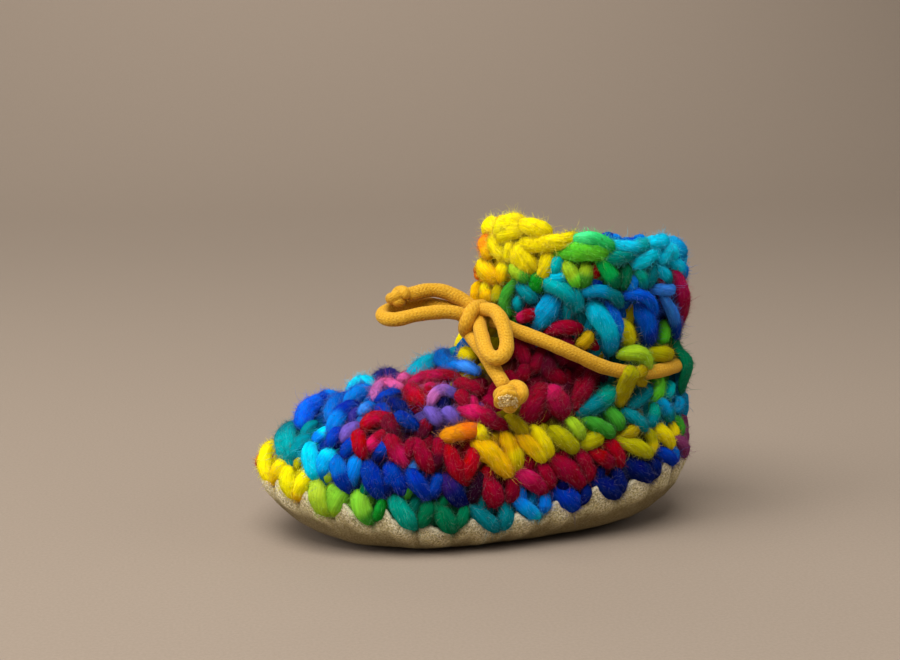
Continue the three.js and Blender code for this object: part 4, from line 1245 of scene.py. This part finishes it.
def lining():
    cols, rows = 170, 44
    u = np.arange(cols) / cols
    base, scallop = edge_v(u, feather_run(u))
    low = base - .45
    t = np.linspace(0, 1, rows)[:, None]
    uu = np.broadcast_to(u, (rows, cols))
    vo = low + (10.55 - low) * t
    turned = np.sum(SIGN * outward(uu, vo) * unit(EYE - last(uu, vo)), -1)
    over = np.clip(above_outline(sunk(uu, vo, np.full_like(vo, 3.2))) + 1.0, 0, 4.0)
    dip = over * (turned < .3) * np.clip((8.4 - vo) / .6, 0, 1) * np.clip((vo - 3.2) / .6, 0, 1)
    for _ in range(3):
        wide = np.maximum(dip, .96 * np.maximum(np.roll(dip, 1, 1), np.roll(dip, -1, 1)))
        dip = .5 * wide + .25 * (np.roll(wide, 1, 1) + np.roll(wide, -1, 1))
        dip[1:-1] = .5 * dip[1:-1] + .25 * (dip[:-2] + dip[2:])
    out = sunk(uu, vo, 3.5 + dip)
    vi = low + (10.5 - low) * t[::-1]
    ins = sunk(uu, vi, 5.3 + dip[::-1])
    out = out + .35 * waves(out, 6.0, 3)[..., None] * SIGN * outward(uu, vo)
    verts = np.concatenate([out.reshape(-1, 3), ins.reshape(-1, 3)])
    quads = grid_faces(2 * rows, cols)
    j = np.arange(cols)
    k = (j + 1) % cols
    close = np.stack([(2 * rows - 1) * cols + j, j, k, (2 * rows - 1) * cols + k], -1)
    quads = np.concatenate([quads, close])
    uv = np.concatenate([grid_uv(2 * rows, cols, (.02, .02), (.98, .94)),
                         np.stack([np.stack([.02 + .96 * j / cols, j * 0 + .95], -1), np.stack([.02 + .96 * j / cols, j * 0 + .98], -1),
                                   np.stack([.02 + .96 * (j + 1) / cols, j * 0 + .98], -1),
                                   np.stack([.02 + .96 * (j + 1) / cols, j * 0 + .95], -1)], -2)])
    mids = np.array([s["mid"] for s in strands[:outer_count]])
    cols_ = np.array([s["colour"].mean(0) for s in strands[:outer_count]])
    yarn = np.zeros((len(verts), 3))
    for a in range(0, len(verts), 2000):
        d = np.linalg.norm(verts[a:a + 2000, None] - mids[None], axis=-1)
        w = np.exp(-(d / 5.0) ** 2) + 1e-12
        yarn[a:a + 2000] = (w[..., None] * cols_[None]).sum(1) / w.sum(1)[:, None]
    # lining colours at .8 of the nearest strands, darker still in its material: painted shade in the gaps
    yarn = np.concatenate([yarn * .8, np.ones((len(yarn), 1))], 1)
    piece = make_piece("wool_lining", verts, quads, np.zeros((0, 3)), {"yarn": yarn, "strand": verts}, WOOL_SHADED_LINING, uv.reshape(-1, 2))
    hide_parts("upper")


lining()


# ============================================================ suede sole
# Notches of the near edge where the wool goes in, from heel to toe: stitches from the first hole, and section.
NOTCHES = [(.33, 3.07), (.94, 3.12), (1.74, 2.93), (2.77, 2.70), (3.95, 2.53), (4.81, 2.30), (5.83, 1.92),
           (6.97, 2.00), (8.02, 2.23), (9.08, 2.53), (10.09, 2.55), (11.03, 2.82), (11.89, 3.03), (12.78, 3.10)]


def suede():
    per = 22
    cols = STITCHES * per
    fine = np.linspace(0, 1, 4001)
    p = last(fine, np.full_like(fine, 3.0))
    run = np.concatenate([[0], np.cumsum(np.linalg.norm(np.diff(p, axis=0), axis=1))])
    notch = np.array(NOTCHES)
    at = np.concatenate([notch[:, 0], np.linspace(notch[-1, 0], notch[0, 0] + STITCHES, 15)[1:]])
    u_at = np.interp(((at + STITCH_PHASE) / STITCHES % 1) * run[-1], run, fine)
    far = EDGE_SIDE + (EDGE_END - EDGE_SIDE) * np.abs(np.cos(2 * np.pi * u_at)) ** EDGE_FALL - EDGE_WAVE
    deep = np.concatenate([notch[:, 1], far[len(notch):-1], notch[:1, 1]])
    no = np.repeat(np.arange(STITCHES), per)
    frac = np.tile(np.arange(per) / per, STITCHES)
    st = at[no] + (at[no + 1] - at[no]) * frac               # stitches from the heel
    u = np.interp(((st + STITCH_PHASE) / STITCHES % 1) * run[-1], run, fine)
    r = np.random.default_rng(21)
    peak = (1 + r.normal(size=STITCHES) * .13)[no]
    # sharp notches where the wool goes in, leaning tongues between them
    lean = frac ** 1.75
    shape = 1 - np.abs(2 * lean - 1) ** 1.12
    foot = deep[no] * (1 - frac) + deep[no + 1] * frac
    _, step = per_mm(u, foot + .3)
    tall = np.full(STITCHES, 4.9)
    tall[[0, 26]], tall[1], tall[7], tall[11:14] = 2.2, 3.6, 2.0, 3.6
    e = foot + tall[no] * step * shape * peak
    ring = np.stack([np.cos(2 * np.pi * st / STITCHES), np.sin(2 * np.pi * st / STITCHES), 0 * st], -1) * 51
    e = e + .030 * waves(ring, 6.0, 31, 2) + .022 * waves(ring, 1.7, 32, 2)
    rows = 34
    t = np.linspace(0, 1, rows)[:, None] ** 0.9
    vv = e * t
    uu = np.broadcast_to(u, vv.shape)
    outer = last(uu, vv)
    nrm = SIGN * outward(uu, np.maximum(vv, .02))
    _, kv = per_mm(uu, np.maximum(vv, .3))
    below = (e - vv) / np.maximum(kv, 1e-6)                  # millimetres under the edge
    off = np.minimum(frac, 1 - frac)                         # 0 at a hole, .5 between
    pucker = -np.exp(-(off / .13) ** 2) * np.exp(-below / 5.0) * .9
    swell = np.sin(np.pi * np.clip(frac, 0, 1)) ** 2 * np.exp(-((below - 2.6) / 3.6) ** 2) * .6
    folds = .22 * waves(outer, 11.0, 33, 2) * np.clip(vv / 1.2, 0, 1)
    nap = .05 * waves(outer, 1.6, 34, 3) * np.clip(vv / .5, 0, 1)
    reach = np.hypot(off * 11.8, below - .7)
    pit = np.exp(-(reach / 1.1) ** 2)
    round_back = np.minimum(uu, 1 - uu)                      # 0 at the middle of the heel
    full = 1.4 * np.exp(-(round_back / .06) ** 2) * np.clip(vv / .7, 0, 1)
    outer = outer + nrm * (pucker + swell + folds + nap + full - 1.2 * pit)[..., None]
    tuck = 3.6 * np.exp(-((round_back - .075) / .06) ** 2) * np.clip(1 - outer[..., 2] / 3.2, 0, 1) ** 2
    inward = np.array([-2.0, 0]) - outer[..., :2]
    outer[..., :2] += inward / np.linalg.norm(inward, axis=-1, keepdims=True) * tuck[..., None]
    outer[..., 2] = np.maximum(outer[..., 2], 0.0)
    outer[0, :, 2] = 0.0
    # over the cut edge and down the inside
    lip = []
    for k, (d, up) in enumerate(((.55, .35), (1.1, .42), (1.6, .25), (SUEDE_T, -.15))):
        q = outer[-1] - nrm[-1] * d
        q = q + unit(last(u, e + .05) - last(u, e)) * up
        lip.append(q + nrm[-1] * (.12 * waves(ring * (1 + .1 * k), 1.1, 40 + k, 2))[:, None])
    inn = [sunk(u, e * f, np.full(cols, SUEDE_T)) for f in (.9, .75, .6, .45, .3, .15)]
    inn.append(np.stack([sunk(u, e * 0 + .04, np.full(cols, SUEDE_T))[:, 0],
                         sunk(u, e * 0 + .04, np.full(cols, SUEDE_T))[:, 1], np.full(cols, SUEDE_T)], -1))
    wall = np.concatenate([outer, np.stack(lip), np.stack(inn)])
    # the flat underneath, from its outline in to the middle
    flat = []
    hub = np.array([-2.0, 0, 0])
    for f in (.12, .28, .44, .6, .75, .88):
        q = hub + (outer[0] - hub) * f
        q[:, 2] = 0.0
        flat.append(q)
    floor_in = []
    for f in (.8, .5, .2):
        q = hub + (inn[-1] - hub) * f
        q[:, 2] = SUEDE_T
        floor_in.append(q)
    rings = np.concatenate([np.stack(flat), wall, np.stack(floor_in)])
    n = len(rings)
    verts = np.concatenate([rings.reshape(-1, 3), [hub, hub + [0, 0, SUEDE_T]]])
    quads = grid_faces(n, cols)
    j = np.arange(cols)
    k = (j + 1) % cols
    tris = np.concatenate([np.stack([j * 0 + n * cols, j, k], -1),
                           np.stack([j * 0 + n * cols + 1, (n - 1) * cols + k, (n - 1) * cols + j], -1)])
    cut = np.zeros((n, cols))
    a = len(flat)
    cut[a:a + rows] = np.exp(-below / .8)
    cut[a + rows:a + rows + 4] = 1.0
    tongue = np.zeros((n, cols))
    # the tongue mask also darkens the wall below the tongues in the suede material: painted shade
    tongue[a:a + rows] = np.exp(-(below / 5.2) ** 2) * (.3 + .7 * np.sin(np.pi * frac))
    tongue[a + rows:a + rows + 4] = .5
    # the pit mask darkens the stitch holes in the suede material: painted shadow
    pits = np.zeros((n, cols))
    pits[a:a + rows] = np.clip(1.25 * np.exp(-(reach / .8) ** 2), 0, 1)
    uv = grid_uv(n, cols, (.01, .03), (.99, .97))
    ut = np.concatenate([np.stack([np.stack([.01 + .98 * (j + .5) / cols, j * 0 + .005], -1), np.stack([.01 + .98 * j / cols, j * 0 + .03], -1),
                                   np.stack([.01 + .98 * (j + 1) / cols, j * 0 + .03], -1)], -2),
                         np.stack([np.stack([.01 + .98 * (j + .5) / cols, j * 0 + .995], -1), np.stack([.01 + .98 * (j + 1) / cols, j * 0 + .97], -1),
                                   np.stack([.01 + .98 * j / cols, j * 0 + .97], -1)], -2)])
    uv = np.concatenate([uv.reshape(-1, 2), ut.reshape(-1, 2)])
    piece = make_piece("suede_sole", verts, quads, tris,
                       {"cut": np.concatenate([cut.ravel(), [0, 0]]), "tongue": np.concatenate([tongue.ravel(), [0, 0]]),
                        "pit": np.concatenate([pits.ravel(), [0, 0]])},
                       SUEDE, uv)
    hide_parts("sole")


suede()


# ============================================================ fleece insole
def insole():
    cols = 200
    low, thick = SUEDE_T + .4, 3.2
    u = np.arange(cols) / cols
    rings = []
    hub = np.array([-2.0, 0, low])

    def at(v, d, z=None):
        q = sunk(u, np.full(cols, v), np.full(cols, d))
        if z is not None:
            q[:, 2] = z
        return q
    base = at(.04, low, low)
    for f in (.3, .65):
        rings.append(hub + (base - hub) * f)
    rings += [base, at(.5, low), at(1.0, low), at(1.4, low + .1)]
    rings += [at(1.45, low + 1.0), at(1.4, low + 2.4), at(1.2, low + thick), at(1.0, low + thick), at(.75, low + thick),
              at(.5, low + thick), at(.28, low + thick)]
    top = at(.04, low + thick, low + thick)
    peak = np.array([-2.0, 0, low + thick])
    for f in np.linspace(1, .04, 16):
        rings.append(peak + (top - peak) * f)
    rings = np.stack(rings)
    lift = np.zeros(rings.shape[:2])
    lift[8:] = .30 * waves(rings[8:], 3.2, 50, 3)
    rings[..., 2] += lift
    n = len(rings)
    verts = np.concatenate([rings.reshape(-1, 3), [hub, peak]])
    quads = grid_faces(n, cols)
    j = np.arange(cols)
    k = (j + 1) % cols
    tris = np.concatenate([np.stack([j * 0 + n * cols, j, k], -1),
                           np.stack([j * 0 + n * cols + 1, (n - 1) * cols + k, (n - 1) * cols + j], -1)])
    piece = make_piece("fleece_insole", verts, quads, tris, {}, FLEECE, None)
    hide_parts("insole")


insole()


# ============================================================ loose fibres
def roots(pool, count, r):
    """Random points on the strands: place, way out, way along and colour."""
    weight = np.array([np.linalg.norm(np.diff(s["centre"], axis=0), axis=1).sum() * s["rw"].max()
                       * {"K": .4, "T": .6}.get(s["kind"], 1.0)
                       * (1.6 if s["row"].startswith(("fourth", "rim", "cuff course", "cuff under", "short")) else 1.0)
                       for s in pool])
    which = r.choice(len(pool), count, p=weight / weight.sum())
    base, out, along, colour = np.zeros((4, count, 3))
    for k, w in enumerate(which):
        s = pool[w]
        i = r.integers(1, len(s["centre"]) - 1)
        a = r.uniform(-.3, np.pi + .3)
        ca, sa = math.cos(a), math.sin(a)
        base[k] = s["centre"][i] + (s["side"][i] * ca * s["rw"][i] + s["nrm"][i] * sa * s["rh"][i]) * .97
        out[k] = s["side"][i] * ca / s["rw"][i] + s["nrm"][i] * sa / s["rh"][i]
        along[k] = s["tangent"][i] + s["side"][i] * .3
        colour[k] = s["colour"][i]
    return base, unit(out), unit(along) * np.sign(r.uniform(-1, 1, (count, 1))), colour


def fibre_piece(name, verts, tri, colour, pale):
    count, points = verts.shape[:2]
    tris = (tri[None] + (np.arange(count) * points)[:, None, None]).reshape(-1, 3)
    # pale mixes each fibre's colour towards white: painted glow of lit loose fibres
    colour = np.clip(colour * (1 - pale) + pale * np.array([1.0, .96, .9]), 0, 1)
    yarn = np.concatenate([np.repeat(colour, points, axis=0), np.ones((count * points, 1))], 1)
    across = math.ceil(math.sqrt(count))
    cell = np.stack([np.arange(count) % across, np.arange(count) // across], -1) / across
    corner = np.array([[.2, .2], [.8, .2], [.5, .8]]) / across
    uv = np.broadcast_to(cell[:, None, None] + corner[None, None], (count, len(tri), 3, 2)).reshape(-1, 2)
    piece = make_piece(name, verts.reshape(-1, 3), np.zeros((0, 4)), tris, {"yarn": yarn}, FIBRE, uv)
    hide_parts("upper")


def fibres(name, pool, count, seed, short, long_):
    """Loose curved ends of wool as thin closed spikes of three sides, joined in one mesh."""
    r = np.random.default_rng(seed)
    base, out, along, colour = roots(pool, count, r)
    size = np.clip(short * np.exp(r.normal(size=(count, 1)) * .55), .6, long_)
    d0 = unit(out * r.uniform(.35, 1.1, (count, 1)) + along * r.uniform(.1, 1.0, (count, 1)) + r.normal(size=(count, 3)) * .4)
    d1 = unit(d0 + r.normal(size=(count, 3)) * .6 + np.array([0, 0, .08]))
    p1 = base + d0 * size * .5
    p2 = p1 + d1 * size * .5
    rad = r.uniform(.028, .048, (count, 1))
    x = unit(np.cross(d0, r.normal(size=(count, 3))))
    y = np.cross(d0, x)
    verts = np.zeros((count, 7, 3))
    for k in range(3):
        c, s = math.cos(k * 2.0944), math.sin(k * 2.0944)
        verts[:, k] = base + (x * c + y * s) * rad
        verts[:, 3 + k] = p1 + (x * c + y * s) * rad * .8
    verts[:, 6] = p2
    tri = np.array([[0, 2, 1], [0, 1, 4], [0, 4, 3], [1, 2, 5], [1, 5, 4], [2, 0, 3], [2, 3, 5], [3, 4, 6], [4, 5, 6], [5, 3, 6]])
    fibre_piece(name, verts, tri, colour, r.uniform(0, .10, (count, 1)))


def nap(name, pool, count, seed, low, high):
    """Short fibres that lie along the strands, as thin closed spikes."""
    r = np.random.default_rng(seed)
    base, out, along, colour = roots(pool, count, r)
    d = unit(out * r.uniform(.2, .95, (count, 1)) + along + r.normal(size=(count, 3)) * .32)
    tip = base + d * r.uniform(low, high, (count, 1))
    rad = r.uniform(.025, .045, (count, 1))
    x = unit(np.cross(d, r.normal(size=(count, 3))))
    y = np.cross(d, x)
    verts = np.zeros((count, 4, 3))
    for k in range(3):
        verts[:, k] = base + (x * math.cos(k * 2.0944) + y * math.sin(k * 2.0944)) * rad
    verts[:, 3] = tip
    tri = np.array([[0, 2, 1], [0, 1, 3], [1, 2, 3], [2, 0, 3]])
    fibre_piece(name, verts, tri, colour * r.uniform(.8, 1.2, (count, 1)), r.uniform(0, .02, (count, 1)))


near_pool = [s for s in strands[:len(near_mids)]]
far_pool = [s for s in strands[len(near_mids):outer_count] if s["level"] > -1 and s["kind"] != "K"]
fibres("wool_fuzz_near", near_pool, 19500, 71, 1.7, 6.0)
fibres("wool_fuzz_far", far_pool, 8000, 72, 1.4, 5.0)
nap("wool_nap_near", near_pool, 46000, 73, .9, 2.4)
nap("wool_nap_far", far_pool, 12500, 74, .8, 2.0)


# ============================================================ floor and light
def floor():
    """A pale sweep of paper: flat under the slipper and rising far behind it."""
    x = np.linspace(-2600, 2600, 14)
    ys = list(np.linspace(-2600, 900, 14))
    prof = [(y, 0.0) for y in ys]
    for a in np.linspace(0, np.pi / 2, 14)[1:]:
        prof.append((900 + 900 * math.sin(a), 900 - 900 * math.cos(a)))
    prof.append((1800, 2600))
    prof = np.array(prof)
    verts = np.array([[xx, y, z] for y, z in prof for xx in x]) - SHIFT
    m = len(x)
    i, j = np.meshgrid(np.arange(len(prof) - 1), np.arange(m - 1), indexing='ij')
    quads = np.stack([i * m + j, i * m + j + 1, (i + 1) * m + j + 1, (i + 1) * m + j], -1).reshape(-1, 4)
    make_piece("floor", verts, quads, np.zeros((0, 3)), {}, floor_material(), None, stage=True)


floor()


def area(name, where, aim, size, power, colour):
    data = bpy.data.lights.new(name, 'AREA')
    data.shape, data.size, data.size_y = 'RECTANGLE', size[0], size[1]
    data.energy, data.color = power, colour
    obj = bpy.data.objects.new(name, data)
    bpy.context.scene.collection.objects.link(obj)
    obj.location = where
    obj.rotation_euler = (Vector(where) - Vector(aim)).to_track_quat('Z', 'Y').to_euler()


area("key", (-0.30, -0.36, 1.0), (0, 0, 0.03), (1.0, 0.75), 17.0, (1.0, 0.98, 0.95))
area("fill", (-1.2, -0.12, 0.55), (0, 0, 0.05), (1.0, 0.7), 9.0, (1.0, 0.98, 0.96))
area("side", (1.15, -0.4, 0.75), (0.03, 0, 0.06), (0.9, 0.7), 3.4, (1.0, 0.98, 0.97))
area("back", (0.1, 1.25, 1.2), (0.05, 1.75, 0.2), (1.6, 0.5), 11.7, (1.0, 0.97, 0.94))
world = bpy.data.worlds.new("studio")
world.use_nodes = True
world.node_tree.nodes["Background"].inputs[0].default_value = (0.95, 0.92, 0.88, 1)
world.node_tree.nodes["Background"].inputs[1].default_value = 0.12
bpy.context.scene.world = world
